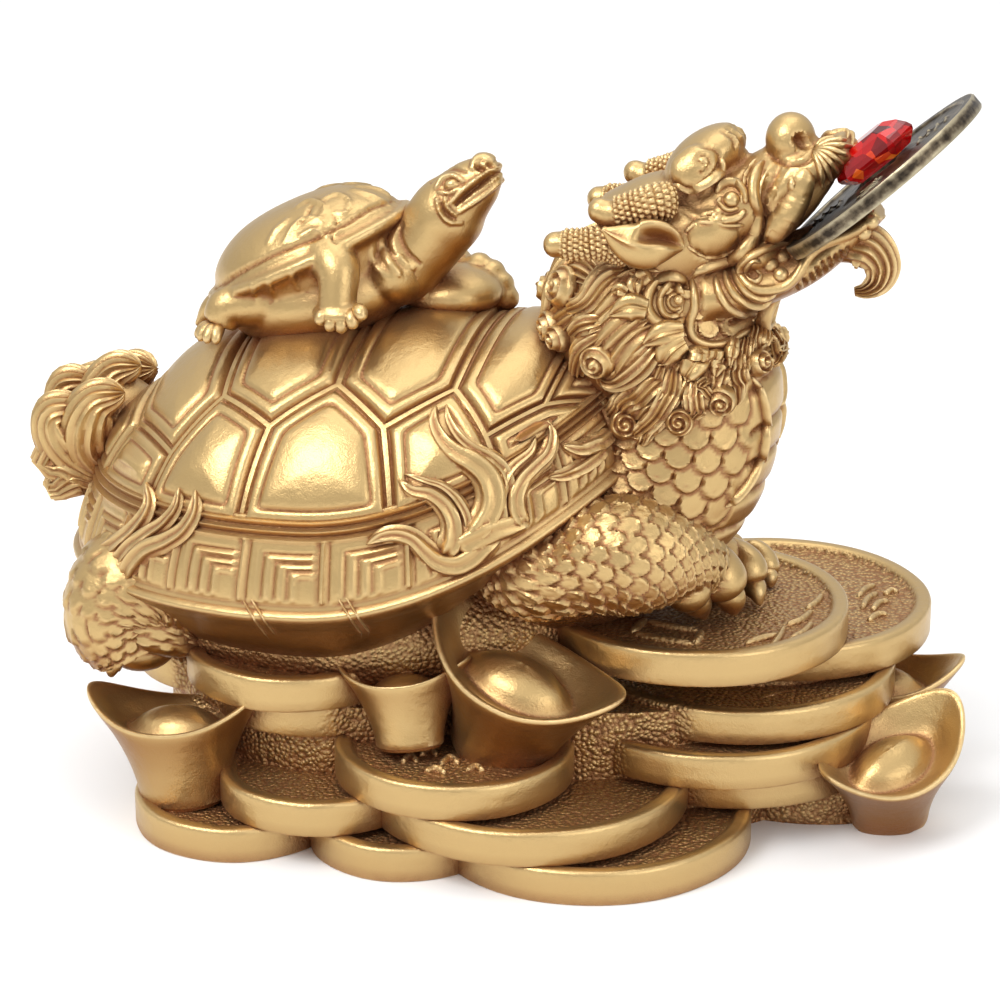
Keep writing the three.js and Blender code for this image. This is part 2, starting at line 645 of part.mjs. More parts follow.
// Start, middle and curl centre of each lock, in the side view, and the curl's radius
const maneLocks = [
  { from: [21, 73.5], by: [15.5, 73.5], curl: [11.4, 69.8], radius: 3.0 },
  { from: [20, 70.5], by: [13.5, 67.5], curl: [9.3, 63.6], radius: 2.5 },
  { from: [20.5, 69], by: [18.0, 65.0], curl: [15.6, 61.2], radius: 3.0 },
  { from: [14, 63.5], by: [11.6, 60.5], curl: [10.6, 57.6], radius: 2.3 },
  { from: [19, 62], by: [17.4, 58.5], curl: [15.6, 55.2], radius: 2.3 },
  { from: [22, 63], by: [21.4, 57.5], curl: [19.4, 53.6], radius: 2.6 },
  { from: [25, 62], by: [25.6, 58.0], curl: [26.4, 54.6], radius: 2.4 },
  { from: [28, 62], by: [29.0, 60.0], curl: [30.8, 57.4], radius: 2.3 },
  { from: [32, 65], by: [33.4, 63.6], curl: [34.0, 61.0], radius: 2.2 },
];

function lock({ from, by, curl, radius }, side) {
  const start = onMane(...from, side, 0.2);
  const bend = onMane(...by, side, 0.8);
  const centre = onMane(...curl, side, -0.3);
  const strand = sweep({
    path: [start, bend, [curl[0] - radius * 0.3, centre[1], curl[1] + radius * 0.8]],
    width: [1.8, 2.3, 1.6], height: [1.2, 1.6, 1.2], up: [0, side, 0.05], sides: 4, steps: 2,
  });
  const sides = 6;
  const knob = [[1.0, 0], [0.85, 0.85]].map(([r, h]) => (
    Array.from({ length: sides }, (_, i) => {
      const angle = turn * i / sides;
      return fig(curl[0] + radius * r * cos(angle), centre[1] + side * (h * radius - 0.9),
        curl[1] + radius * r * sin(angle));
    })
  ));
  return [strand, loft(knob)];
}

function mane() {
  const near = maneLocks.flatMap((item) => lock(item, -1));
  const far = maneLocks.flatMap((item) => lock(item, 1));
  const crest = [-6, 0, 6].map((y) => sweep({
    path: [[20, y * 0.7, 75.5], [14, y, 74.6], [9.6, y * 1.1, 70.5], [8.4, y * 1.1, 65], [9.0, y, 60]],
    width: [2.2, 2.6, 2.6, 2.2, 1.0], height: [1.8, 2.2, 2.2, 1.8, 0.8], up: [0.1, y, 6], sides: 5, steps: 4,
  }));
  return [lump({ ...maneCore, detail: [10, 6] }), ...near, ...far, ...crest];
}

// Small turtle on the back
const cub = { at: [-23.4, 0, 68.7], pitch: rad(26), halfLength: 14.2, halfWidth: 11.4 };

function cubPoint(u, w, h) {
  const [c, s] = [cos(cub.pitch), sin(cub.pitch)];
  return [cub.at[0] + u * c - h * s, w, cub.at[2] + u * s + h * c];
}

function cubShell() {
  const profile = [
    [0.7, -6.4], [0.86, -1.4], [1.0, -0.7], [1.0, 0.3], [0.91, 1.0], [0.84, 2.6], [0.62, 4.9],
    [0.3, 6.3],
  ];
  const sides = 18;
  return loft(profile.map(([r, h]) => Array.from({ length: sides }, (_, i) => {
    const angle = turn * i / sides;
    return fig(...cubPoint(r * cub.halfLength * cos(angle), r * cub.halfWidth * sin(angle), h));
  })));
}

function smallTurtle() {
  const neckAndHead = sweep({
    path: [[-16, 0, 69.5], [-10.5, 0, 71.2], [-7.2, 0, 73.4], [-5.2, 0, 76.4], [-2.6, 0, 78.6],
      [1.6, 0, 79.6]],
    width: [4.2, 4.0, 3.6, 3.6, 3.6, 1.9], height: [4.2, 3.8, 3.3, 3.2, 3.1, 1.6], up: [-0.7, 0, 1],
    sides: 8, steps: 8,
  });
  const bumps = [-1, 1].map((side) => lump({
    at: [-2.6, side * 2.5, 80.4], size: [1.4, 1.1, 1.1], detail: [6, 4],
  }));
  const limbs = [
    sweep({
      path: [[-17, -8, 70.5], [-14.2, -10.4, 69.4], [-15.6, -11.4, 66.0], [-16.8, -11.6, 63.2]],
      width: [3.2, 3.2, 2.6, 2.2], up: [1, 0, 0.1], sides: 6, steps: 4,
    }),
    ...toes([-15.8, -11.8, 62.2], rad(-62), 3.2, 3),
    sweep({
      path: [[-15, 8, 70], [-10.4, 11.0, 68.4], [-6.4, 12.0, 65.0], [-4.6, 12.0, 62.2]],
      width: [3.2, 3.4, 3.0, 2.4], up: [1, 0, 0.4], sides: 6, steps: 4,
    }),
    ...toes([-4.2, 12.0, 61.0], rad(10), 3.6, 3),
    ...[-1, 1].flatMap((side) => [
      sweep({
        path: [[-27, side * 6, 63.5], [-31.4, side * 7.8, 62.8], [-32.4, side * 8.4, 60.8]],
        width: [3.4, 3.0, 2.2], up: [0, side, 0.1], sides: 6, steps: 3,
      }),
      ...toes([-32.2, side * 8.8, 59.6], rad(180) - side * rad(60), 3.0, 3),
    ]),
  ];
  const belly = lump({ at: [-21, 0, 63.5], size: [12.5, 9.5, 6.5], pitch: rad(14), detail: [10, 6] });
  const tailTip = sweep({
    path: [[-32, 0, 62.0], [-36.0, 0, 60.4], [-38.4, 0, 57.6]], width: [2.2, 1.8, 0.6], sides: 5, steps: 2,
    up: [0.5, 0, 1],
  });
  return [cubShell(), neckAndHead, ...bumps, ...limbs, belly, tailTip];
}

function toes([x, y, z], direction, reach, count) {
  return Array.from({ length: count }, (_, i) => {
    const angle = direction + rad(30) * (i - (count - 1) / 2);
    return sweep({
      path: [[x, y, z + 0.8], [x + reach * 0.6 * cos(angle), y + reach * 0.6 * sin(angle), z + 0.9],
        [x + reach * cos(angle), y + reach * sin(angle), z - 0.4]],
      width: [1.1, 1.2, 0.5], sides: 4, steps: 2,
    });
  });
}

// Body that joins shell, legs and bed
function trunk() {
  return [
    lump({ at: [-17, 0, 24], size: [31, 22, 12], detail: [12, 6] }),
    lump({ at: [8, 0, 33], size: [16, 15, 10], detail: [10, 6] }),
  ];
}

// Loose coin: local +X runs up the slope, local +Z is its upper face
const mouthCoinCentre = fig(47.3, 0, 82.5);

function coinFrame(geometry) {
  geometry.rotateY(-mouthCoinPitch);
  geometry.translate(mouthCoinCentre.x, mouthCoinCentre.y, mouthCoinCentre.z);
  return solidFromGeometry(geometry);
}

function coinDisc(radius, thickness) {
  const half = thickness / 2;
  const profile = [[0, -half], [radius, -half], [radius, half], [0, half]]
    .map(([r, h]) => new THREE.Vector2(r, h));
  return new THREE.LatheGeometry(profile, 36).rotateX(PI / 2);
}

function mouthCoin() {
  const radius = mouthCoinDiameter / 2;
  const half = mouthCoinThickness / 2;
  const field = half - mouthCoinRelief;
  const holeRim = mouthCoinHole / 2 + mouthCoinRim;
  const profile = [
    [0, -field], [radius - mouthCoinRim, -field], [radius - mouthCoinRim, -half], [radius, -half],
    [radius, half], [radius - mouthCoinRim, half], [radius - mouthCoinRim, field], [0, field],
  ].map(([r, h]) => new THREE.Vector2(r, h));
  const disc = coinFrame(new THREE.LatheGeometry(profile, 36).rotateX(PI / 2));
  const collar = coinFrame(new THREE.BoxGeometry(2 * holeRim, 2 * holeRim, mouthCoinThickness));
  const hole = coinFrame(new THREE.BoxGeometry(mouthCoinHole, mouthCoinHole, 3 * mouthCoinThickness));
  return join([disc, collar, ...coinStrokes(holeRim, field)]).subtract(hole);
}

// Rows of short raised strokes in the field, beside each side of the square hole
function coinStrokes(holeRim, field) {
  const strokes = [];
  const reach = mouthCoinDiameter / 2 - mouthCoinRim - holeRim;
  for (let quarter = 0; quarter < 4; quarter += 1) {
    for (const row of [-1, 0, 1]) {
      const long = row === 0 ? 4.2 : 3.0;
      const box = new THREE.BoxGeometry(0.8, long, mouthCoinRelief + field);
      box.translate(holeRim + reach / 2 + row * reach * 0.26, 0, (field + mouthCoinRelief) / 2);
      box.rotateZ(quarter * PI / 2);
      strokes.push(coinFrame(box));
    }
  }
  return strokes;
}

// Slot that keeps the casting clear of the coin
function mouthSlot() {
  return coinFrame(coinDisc(mouthCoinDiameter / 2 + fitGap, mouthCoinThickness + 2 * fitGap));
}

// Crystal: a long hexagon with a stepped crown, lying on the upper face of the coin
function crystal(grown = 0) {
  const lift = mouthCoinThickness / 2 + fitGap - grown;
  const [l, w] = [crystalLength / 2 + grown, crystalWidth / 2 + grown];
  const tall = crystalHeight + 2 * grown;
  const outline = [[1, 0], [0.5, 1], [-0.5, 1], [-1, 0], [-0.5, -1], [0.5, -1]];
  const levels = [[0.62, 0], [1.0, 0.42], [1.0, 0.55], [0.66, 1.0]];
  const turnUp = new THREE.Matrix4().makeRotationY(-mouthCoinPitch);
  return loft(levels.map(([share, height]) => outline.map(([x, y]) => new THREE.Vector3(
    x * share * l + crystalPlace, y * share * w, lift + height * tall,
  ).applyMatrix4(turnUp).add(mouthCoinCentre))));
}

// Merges facets by collapsing edges, the ones that change the form least first. Each corner
// carries the sum of squared distances to its facets' planes, as a symmetric 4x4 matrix.
function thinned(solid, target) {
  const mesh = solid.getMesh();
  const place = Array.from({ length: mesh.vertProperties.length / 3 }, (_, i) => (
    new THREE.Vector3().fromArray(mesh.vertProperties, 3 * i)));
  const facets = Array.from({ length: mesh.triVerts.length / 3 }, (_, i) => (
    [...mesh.triVerts.slice(3 * i, 3 * i + 3)]));
  const around = place.map(() => new Set());
  facets.forEach((corners, f) => corners.forEach((v) => around[v].add(f)));
  const quadric = place.map(() => new Float64Array(10));
  const version = place.map(() => 0);
  const normalOf = (a, b, c) => b.clone().sub(a).cross(c.clone().sub(a));
  for (const [a, b, c] of facets) {
    const normal = normalOf(place[a], place[b], place[c]);
    const area = normal.length() / 2;
    if (area < 1e-9) continue;
    normal.normalize();
    const plane = [normal.x, normal.y, normal.z, -normal.dot(place[a])];
    for (const v of [a, b, c]) {
      let k = 0;
      for (let i = 0; i < 4; i += 1) {
        for (let j = i; j < 4; j += 1) {
          quadric[v][k] += plane[i] * plane[j] * (area + 0.02);
          k += 1;
        }
      }
    }
  }
  const cost = (q, { x, y, z }) => (
    q[0] * x * x + q[4] * y * y + q[7] * z * z + q[9]
    + 2 * (q[1] * x * y + q[2] * x * z + q[3] * x + q[5] * y * z + q[6] * y + q[8] * z));
  const heap = [];
  const push = (item) => {
    let i = heap.push(item) - 1;
    while (i > 0) {
      const parent = (i - 1) >> 1;
      if (heap[parent].cost <= heap[i].cost) break;
      [heap[parent], heap[i]] = [heap[i], heap[parent]];
      i = parent;
    }
  };
  const pop = () => {
    const top = heap[0];
    const last = heap.pop();
    if (heap.length === 0) return top;
    heap[0] = last;
    let i = 0;
    for (;;) {
      let least = i;
      for (const child of [2 * i + 1, 2 * i + 2]) {
        if (child < heap.length && heap[child].cost < heap[least].cost) least = child;
      }
      if (least === i) return top;
      [heap[least], heap[i]] = [heap[i], heap[least]];
      i = least;
    }
  };
  const offer = (a, b) => {
    const sum = quadric[a].map((value, k) => value + quadric[b][k]);
    const choices = [place[a], place[b], place[a].clone().lerp(place[b], 0.5)];
    const costs = choices.map((p) => cost(sum, p));
    const best = costs.indexOf(min(...costs));
    const length = place[a].distanceTo(place[b]);
    push({
      cost: max(costs[best], 0) + 1e-5 * length, a, b, at: choices[best].clone(),
      versions: [version[a], version[b]],
    });
  };
  const neighbours = (v) => {
    const found = new Set();
    for (const f of around[v]) for (const w of facets[f]) if (w !== v) found.add(w);
    return found;
  };
  const turnsOver = (v, other, at) => {
    for (const f of around[v]) {
      const corners = facets[f];
      if (corners.includes(other)) continue;
      const [p, q] = [corners.map((w) => place[w]), corners.map((w) => (w === v ? at : place[w]))];
      const [before, after] = [normalOf(...p), normalOf(...q)];
      const longest = max(q[0].distanceTo(q[1]), q[1].distanceTo(q[2]), q[2].distanceTo(q[0]));
      if (after.length() < 0.03 * longest * longest) return true;
      if (before.length() > 1e-7 && before.dot(after) < 0.35 * before.length() * after.length()) {
        return true;
      }
    }
    return false;
  };
  for (const [a, b, c] of facets) {
    if (a < b) offer(a, b);
    if (b < c) offer(b, c);
    if (c < a) offer(c, a);
  }
  let count = facets.length;
  while (count > target && heap.length > 0) {
    const { a, b, at, versions } = pop();
    if (versions[0] !== version[a] || versions[1] !== version[b]) continue;
    const nextA = neighbours(a);
    const nextB = neighbours(b);
    if (!nextA.has(b)) continue;
    const shared = [...nextA].filter((v) => nextB.has(v));
    const sides = [...around[a]].filter((f) => facets[f].includes(b));
    if (shared.length !== 2 || sides.length !== 2) continue;
    if (turnsOver(a, b, at) || turnsOver(b, a, at)) continue;
    for (const f of sides) {
      for (const v of facets[f]) around[v].delete(f);
      facets[f] = null;
      count -= 1;
    }
    for (const f of around[b]) {
      facets[f] = facets[f].map((v) => (v === b ? a : v));
      around[a].add(f);
    }
    around[b].clear();
    place[a] = at;
    quadric[a] = quadric[a].map((value, k) => value + quadric[b][k]);
    version[a] += 1;
    version[b] = -1;
    for (const v of neighbours(a)) offer(min(a, v), max(a, v));
  }
  return solidFrom(place, facets.filter(Boolean).flat());
}

// Assembly: the outer body alone, solid through
function casting() {
  const everything = [
    ...coinBed(), ...trunk(), dome(), rim(), ...flameTongues(), ...legs(), ...tail(),
    ...neck(), ...headCore(), ...headCarving(-1), ...headCarving(1), ...mane(), ...smallTurtle(),
  ];
  const cuts = join([mouthSlot(), crystal(fitGap), table()]);
  const bodies = join(everything).subtract(cuts).simplify(carvingTolerance).decompose();
  const outer = bodies.reduce((most, body) => (body.volume() > most.volume() ? body : most));
  return thinned(outer, facetTarget).subtract(table());
}

// What is below the table is cut off, so that the underside is flat
function table() {
  const depth = 20;
  const geometry = new THREE.BoxGeometry(3 * figureLength, 3 * figureLength, depth);
  return solidFromGeometry(geometry.translate(0, 0, -depth / 2));
}

function named(name, solid, material) {
  const mesh = solid.getMesh();
  const geometry = new THREE.BufferGeometry();
  const positions = new Float32Array(mesh.vertProperties);
  geometry.setAttribute('position', new THREE.BufferAttribute(positions, 3));
  geometry.setIndex(new THREE.BufferAttribute(new Uint32Array(mesh.triVerts), 1));
  geometry.computeVertexNormals();
  const object = new THREE.Mesh(geometry, material);
  object.name = name;
  return object;
}

const goldPaint = new THREE.MeshStandardMaterial({ color: 0xb98f45, roughness: 0.38, metalness: 0.85 });
const agedBronze = new THREE.MeshStandardMaterial({ color: 0x6f5a3a, roughness: 0.45, metalness: 0.9 });
const redCrystal = new THREE.MeshStandardMaterial({ color: 0xd8101c, roughness: 0.05, metalness: 0 });

const dragonTurtle = new THREE.Group();
dragonTurtle.add(
  named('dragon_turtle', casting(), goldPaint),
  named('mouth_coin', mouthCoin(), agedBronze),
  named('red_gem', crystal(), redCrystal),
);

export default dragonTurtle;
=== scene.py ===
import math
import bpy
import numpy as np
from mathutils import Matrix, Vector
from mathutils.bvhtree import BVHTree


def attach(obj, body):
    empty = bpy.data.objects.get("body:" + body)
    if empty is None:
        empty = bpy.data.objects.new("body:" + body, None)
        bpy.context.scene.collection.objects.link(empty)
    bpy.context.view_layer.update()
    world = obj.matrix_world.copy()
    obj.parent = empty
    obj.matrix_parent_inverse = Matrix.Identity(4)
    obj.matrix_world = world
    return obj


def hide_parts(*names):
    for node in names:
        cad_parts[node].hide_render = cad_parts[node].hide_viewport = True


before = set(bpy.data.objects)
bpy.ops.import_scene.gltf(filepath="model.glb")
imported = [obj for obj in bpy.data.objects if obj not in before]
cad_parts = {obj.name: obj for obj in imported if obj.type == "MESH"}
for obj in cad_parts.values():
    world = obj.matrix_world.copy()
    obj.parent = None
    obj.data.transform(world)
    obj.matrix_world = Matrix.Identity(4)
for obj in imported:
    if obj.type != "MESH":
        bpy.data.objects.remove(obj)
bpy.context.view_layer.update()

# The carving is drawn in millimetres, and every mesh is scaled to metres as it is made.
MM = 0.001
TURN = 2 * math.pi

# The photograph's view: a point of the picture, in pixels, is a ray from the eye
PICTURE = 1000
MIDDLE = PICTURE / 2
PIXELS_PER_MM = 8
AIM = np.array([1.0, 0.0, 38.0])
AZIMUTH, ELEVATION, DISTANCE, FOCAL = math.radians(15), math.radians(20), 400.0, 3200.0
BACK = np.array([
    math.sin(AZIMUTH) * math.cos(ELEVATION), -math.cos(AZIMUTH) * math.cos(ELEVATION),
    math.sin(ELEVATION)])
RIGHT = np.array([math.cos(AZIMUTH), math.sin(AZIMUTH), 0.0])
UP = np.cross(BACK, RIGHT)
EYE = AIM + BACK * DISTANCE


def unit(v):
    """Vectors brought to length 1."""
    v = np.asarray(v, float)
    return v / np.maximum(np.linalg.norm(v, axis=-1, keepdims=True), 1e-12)


def ray(x, y):
    """The direction from the eye to a point of the picture."""
    return unit(RIGHT * (x - MIDDLE) / FOCAL + UP * (MIDDLE - y) / FOCAL - BACK)


def step(low, high, x):
    """Rises smoothly from 0 to 1 between low and high."""
    t = np.clip((np.asarray(x, float) - low) / (high - low), 0, 1)
    return t * t * (3 - 2 * t)


def circle(sides):
    """Angles of evenly spaced points round a ring."""
    return TURN * np.arange(sides) / sides


def ridge(x, half):
    """A smooth bump of height 1 over a distance x, gone at half."""
    t = np.clip(np.abs(x) / half, 0, 1)
    return (1 - t * t) ** 2


def spline(points, count):
    """Evenly spaced points along a smooth curve through the given ones, and its directions."""
    p = np.asarray(points, float)
    p = np.vstack([2 * p[0] - p[1], p, 2 * p[-1] - p[-2]])
    samples = 24
    dense = []
    for a, b, c, d in zip(p[:-3], p[1:-2], p[2:-1], p[3:]):
        ab, bc, cd = [max(np.linalg.norm(v), 1e-6) ** 0.5 for v in (b - a, c - b, d - c)]
        start = ((b - a) / ab - (c - a) / (ab + bc) + (c - b) / bc) * bc
        end = ((c - b) / bc - (d - b) / (bc + cd) + (d - c) / cd) * bc
        t = np.linspace(0, 1, samples, endpoint=False)[:, None]
        dense.append(
            b * (2 * t ** 3 - 3 * t ** 2 + 1) + start * (t ** 3 - 2 * t ** 2 + t)
            + c * (3 * t ** 2 - 2 * t ** 3) + end * (t ** 3 - t ** 2))
    dense = np.vstack(dense + [p[-2:-1]])
    length = np.r_[0, np.cumsum(np.linalg.norm(np.diff(dense, axis=0), axis=1))]
    even = np.linspace(0, length[-1], count)
    out = np.column_stack([np.interp(even, length, column) for column in dense.T])
    return out, unit(np.gradient(out, axis=0))


def along(values, s):
    """A smooth value at shares s of a list of evenly spaced values."""
    v = np.asarray(values, float)
    v = np.r_[2 * v[0] - v[1], v, 2 * v[-1] - v[-2]]
    t = np.clip(s, 0, 1) * (len(v) - 3)
    i = np.minimum(t.astype(int), len(v) - 4)
    f = t - i
    a, b, c, d = v[i], v[i + 1], v[i + 2], v[i + 3]
    smooth = b + 0.5 * f * (c - a + f * (2 * a - 5 * b + 4 * c - d + f * (3 * (b - c) + d - a)))
    return np.maximum(smooth, 0.04 * v.max())


# A shell is a closed surface: its points, and its faces as rows of corners
def tube(rings):
    """A closed shell through rings of equal size, with a fan over each end."""
    rings = np.asarray(rings, float)
    count, sides = rings.shape[:2]
    points = np.vstack([rings.reshape(-1, 3), rings[0].mean(0)[None], rings[-1].mean(0)[None]])
    i = np.arange(sides)
    j = (i + 1) % sides
    base = (np.arange(count - 1) * sides)[:, None]
    quads = np.stack([base + i, base + j, base + sides + j, base + sides + i], -1).reshape(-1, 4)
    top = (count - 1) * sides
    first, last = count * sides, count * sides + 1
    fans = np.vstack([
        np.stack([np.full(sides, first), j, i], -1),
        np.stack([np.full(sides, last), top + i, top + j], -1)])
    return outward(points, quads, fans)


def outward(points, quads, fans):
    """The shell with its faces turned so that they point out."""
    corners = np.vstack([quads[:, [0, 1, 2]], quads[:, [0, 2, 3]], fans])
    a, b, c = [points[corners[:, k]] for k in range(3)]
    if np.einsum("ij,ij->", a, np.cross(b, c)) < 0:
        quads, fans = quads[:, ::-1], fans[:, ::-1]
    return points, quads, fans


def mirrored(shell):
    """The shell's mirror image on the far side."""
    points, quads, fans = shell
    return points * [1, -1, 1], quads[:, ::-1], fans[:, ::-1]


def both(shells):
    """Shells and their mirror images on the far side."""
    return list(shells) + [mirrored(shell) for shell in shells]


def sweep(path, width, height=None, up=(0, 0, 1), sides=24, steps=40, relief=None, rounded=0.0):
    """A limb, lock or ridge along a curve, with half-sizes across and outwards.

    relief(s, angle) gives how far the surface stands out, in millimetres.
    """
    centre, ahead = spline(path, steps + 1)
    s = np.linspace(0, 1, steps + 1)
    return ribbon(centre, ahead, np.asarray(up, float), s, width, height, sides, relief, rounded)


def ribbon(centre, ahead, up, s, width, height=None, sides=16, relief=None, rounded=0.0):
    """A sweep whose centre line, directions and shares along it are given."""
    height = width if height is None else height
    across = unit(np.cross(ahead, up))
    out = unit(np.cross(across, ahead))
    w, h = along(width, s)[:, None], along(height, s)[:, None]
    if rounded:
        end = np.clip(np.minimum(s, 1 - s) / rounded, 0, 1)[:, None]
        close = np.sqrt(np.maximum(1 - (1 - end) ** 2, 0.0015))
        w, h = w * close, h * close
    angle = circle(sides)[None, :]
    flat = across[:, None] * (w * np.cos(angle))[..., None]
    tall = out[:, None] * (h * np.sin(angle))[..., None]
    rings = centre[:, None] + flat + tall
    if relief is not None:
        stand = relief(s[:, None], angle) * np.minimum(1, np.minimum(w, h) / 0.8)
        normal = unit(
            across[:, None] * (h * np.cos(angle))[..., None]
            + out[:, None] * (w * np.sin(angle))[..., None])
        rings = rings + normal * np.broadcast_to(stand, rings.shape[:2])[..., None]
    return tube(rings)


def lump(at, size, pitch=0.0, sides=32, rows=20):
    """A rounded lump with half-sizes in millimetres, pitched up."""
    polar = np.linspace(0.02, math.pi - 0.02, rows)[:, None]
    around = circle(sides)[None, :]
    ball = np.stack([
        np.sin(polar) * np.cos(around), np.sin(polar) * np.sin(around),
        np.cos(polar) * np.ones_like(around)], -1) * np.asarray(size)
    spin = Matrix.Rotation(-pitch, 3, "Y")
    return tube(ball @ np.array(spin).T + np.asarray(at, float))


def wobble(points, size, seed):
    """Smooth three-dimensional noise from -1 to 1, as a few crossed waves."""
    rng = np.random.default_rng(seed)
    total = np.zeros(points.shape[:-1])
    for k in range(7):
        direction = unit(rng.normal(size=3)) * (TURN / size) * rng.uniform(0.6, 1.7)
        total += np.sin(points @ direction + rng.uniform(0, TURN))
    return total / 4.5


def mesh_of(name, shell):
    """A mesh in metres from one shell."""
    points, quads, fans = shell
    mesh = bpy.data.meshes.new(name)
    faces = quads.tolist() + fans.tolist()
    mesh.from_pydata((points * MM).tolist(), [], faces)
    mesh.update()
    return mesh


def merged(shells):
    """Points and faces of several shells in one list each."""
    points, faces, start = [], [], 0
    for shell in shells:
        points.append(shell[0])
        faces += (shell[1] + start).tolist() + (shell[2] + start).tolist()
        start += len(shell[0])
    return np.vstack(points).tolist(), faces


def tree_of(shells):
    """Lookup of the surface of several shells, in millimetres."""
    return BVHTree.FromPolygons(*merged(shells))


def fused(name, shells):
    """One closed casting from overlapping shells, as a mesh without inner walls."""
    for points, _, _ in shells:
        points[:, 2] = np.maximum(points[:, 2], 0.02)
    made = [bpy.data.objects.new(f"{name}_{k}", mesh_of(f"{name}_{k}", shell))
            for k, shell in enumerate(shells)]
    base, others = made[0], made[1:]
    bpy.context.scene.collection.objects.link(base)
    group = bpy.data.collections.new(name + "_parts")
    bpy.context.scene.collection.children.link(group)
    for item in others:
        group.objects.link(item)
    mesh = base.data.copy()
    if others:
        union = base.modifiers.new("union", "BOOLEAN")
        union.operation = "UNION"
        union.solver = "MANIFOLD"
        union.operand_type = "COLLECTION"
        union.collection = group
        graph = bpy.context.evaluated_depsgraph_get()
        graph.update()
        mesh = bpy.data.meshes.new_from_object(base.evaluated_get(graph))
    piece = bpy.data.objects.new(name, mesh)
    bpy.context.scene.collection.objects.link(piece)
    for item in made:
        old = item.data
        bpy.data.objects.remove(item)
        bpy.data.meshes.remove(old)
    bpy.data.collections.remove(group)
    return piece


def melted(shells, voxel, rounds, carving):
    """One closed shell from overlapping ones, re-cut in even steps so that their joins run together."""
    points, faces = merged(shells)
    rough = bpy.data.meshes.new("rough")
    rough.from_pydata(points, [], faces)
    base = bpy.data.objects.new("rough", rough)
    bpy.context.scene.collection.objects.link(base)
    cutter = base.modifiers.new("even", "REMESH")
    cutter.mode = "VOXEL"
    cutter.voxel_size = voxel
    graph = bpy.context.evaluated_depsgraph_get()
    mesh = bpy.data.meshes.new_from_object(base.evaluated_get(graph))
    bpy.data.objects.remove(base)
    bpy.data.meshes.remove(rough)
    place, _, a, b, degree = surface_of(mesh)
    for swing in (0.55, -0.53) * rounds:
        near = np.stack([
            np.bincount(a, place[b, k], len(place)) + np.bincount(b, place[a, k], len(place))
            for k in range(3)], 1) / degree[:, None]
        place = place + swing * (near - place)
    mesh.vertices.foreach_set("co", place.ravel())
    mesh.update()
    _, normal, _, _, _ = surface_of(mesh)
    place = place + normal * carving(place, normal)[:, None]
    corners = [tuple(face.vertices) for face in mesh.polygons]
    quads = np.array([c for c in corners if len(c) == 4], int).reshape(-1, 4)
    fans = np.array([c for c in corners if len(c) == 3], int).reshape(-1, 3)
    bpy.data.meshes.remove(mesh)
    return outward(place, quads, fans)


def surface_of(mesh):
    """Points and normals of a mesh, the two ends of its edges, and how many edges meet at a point."""
    count = len(mesh.vertices)
    place = np.empty(count * 3)
    mesh.vertices.foreach_get("co", place)
    normal = np.empty(count * 3)
    mesh.vertices.foreach_get("normal", normal)
    edges = np.empty(len(mesh.edges) * 2, int)
    mesh.edges.foreach_get("vertices", edges)
    a, b = edges.reshape(-1, 2).T
    degree = np.maximum(np.bincount(a, minlength=count) + np.bincount(b, minlength=count), 1)
    return place.reshape(-1, 3), normal.reshape(-1, 3), a, b, degree


def finish_piece(piece, material, node, sharp=50, sand=None, hollow=0.45):
    """Smooth shading, masks of painted shade, of wear with a painted highlight and of sand, material and
    place of a piece.
    """
    mesh = piece.data
    mesh.polygons.foreach_set("use_smooth", np.ones(len(mesh.polygons), bool))
    mesh.set_sharp_from_angle(angle=math.radians(sharp))
    painted_shade_wear_and_sand_masks(mesh, sand, hollow)
    mesh.materials.clear()
    mesh.materials.append(material)
    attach(piece, "root")
    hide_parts(node)


def painted_shade_wear_and_sand_masks(mesh, sand, hollow):
    """How hollow, sharp, sandy and downward the surface is at each point, from 0 to 1."""
    place, normal, a, b, degree = surface_of(mesh)
    place = place / MM
    count = len(place)
    span = place[b] - place[a]
    square = np.maximum((span ** 2).sum(1), 0.01)
    bend = (np.bincount(a, (normal[a] * span).sum(1) / square, count)
            + np.bincount(b, -(normal[b] * span).sum(1) / square, count)) / degree
    for _ in range(2):
        bend = 0.5 * bend + 0.5 * (
            np.bincount(a, bend[b], count) + np.bincount(b, bend[a], count)) / degree
    grain = np.zeros(count) if sand is None else sand(place, normal)
    # Masks on the mesh: hollow and under place painted shade, edge places wear with a painted highlight,
    # sand the sandy grain.
    for name, mask in (("hollow", step(0.02, hollow, bend)), ("edge", step(0.10, 0.9, -bend)),
                       ("sand", grain), ("under", step(0.05, -0.55, normal[:, 2]))):
        layer = mesh.attributes.new(name, "FLOAT", "POINT")
        layer.data.foreach_set("value", mask.astype(np.float32))


def beside(pixels, y):
    """Points of the picture, placed on upright planes at y."""
    points = []
    for (px, py), side in zip(pixels, np.broadcast_to(y, len(pixels))):
        direction = ray(px, py)
        points.append(EYE + direction * ((side - EYE[1]) / direction[1]))
    return points


def on_level(pixels, z):
    """Points of the picture, placed on level planes at z."""
    points = []
    for (px, py), level in zip(pixels, np.broadcast_to(z, len(pixels))):
        direction = ray(px, py)
        points.append(EYE + direction * ((level - EYE[2]) / direction[2]))
    return points


def pictured(place):
    """Where points lie in the picture, those of the far side as their mirror images."""
    near = place.copy()
    near[:, 1] = -np.abs(near[:, 1])
    q = near - EYE
    depth = -(q @ BACK)
    return np.stack([MIDDLE + FOCAL * (q @ RIGHT) / depth, MIDDLE - FOCAL * (q @ UP) / depth], 1)


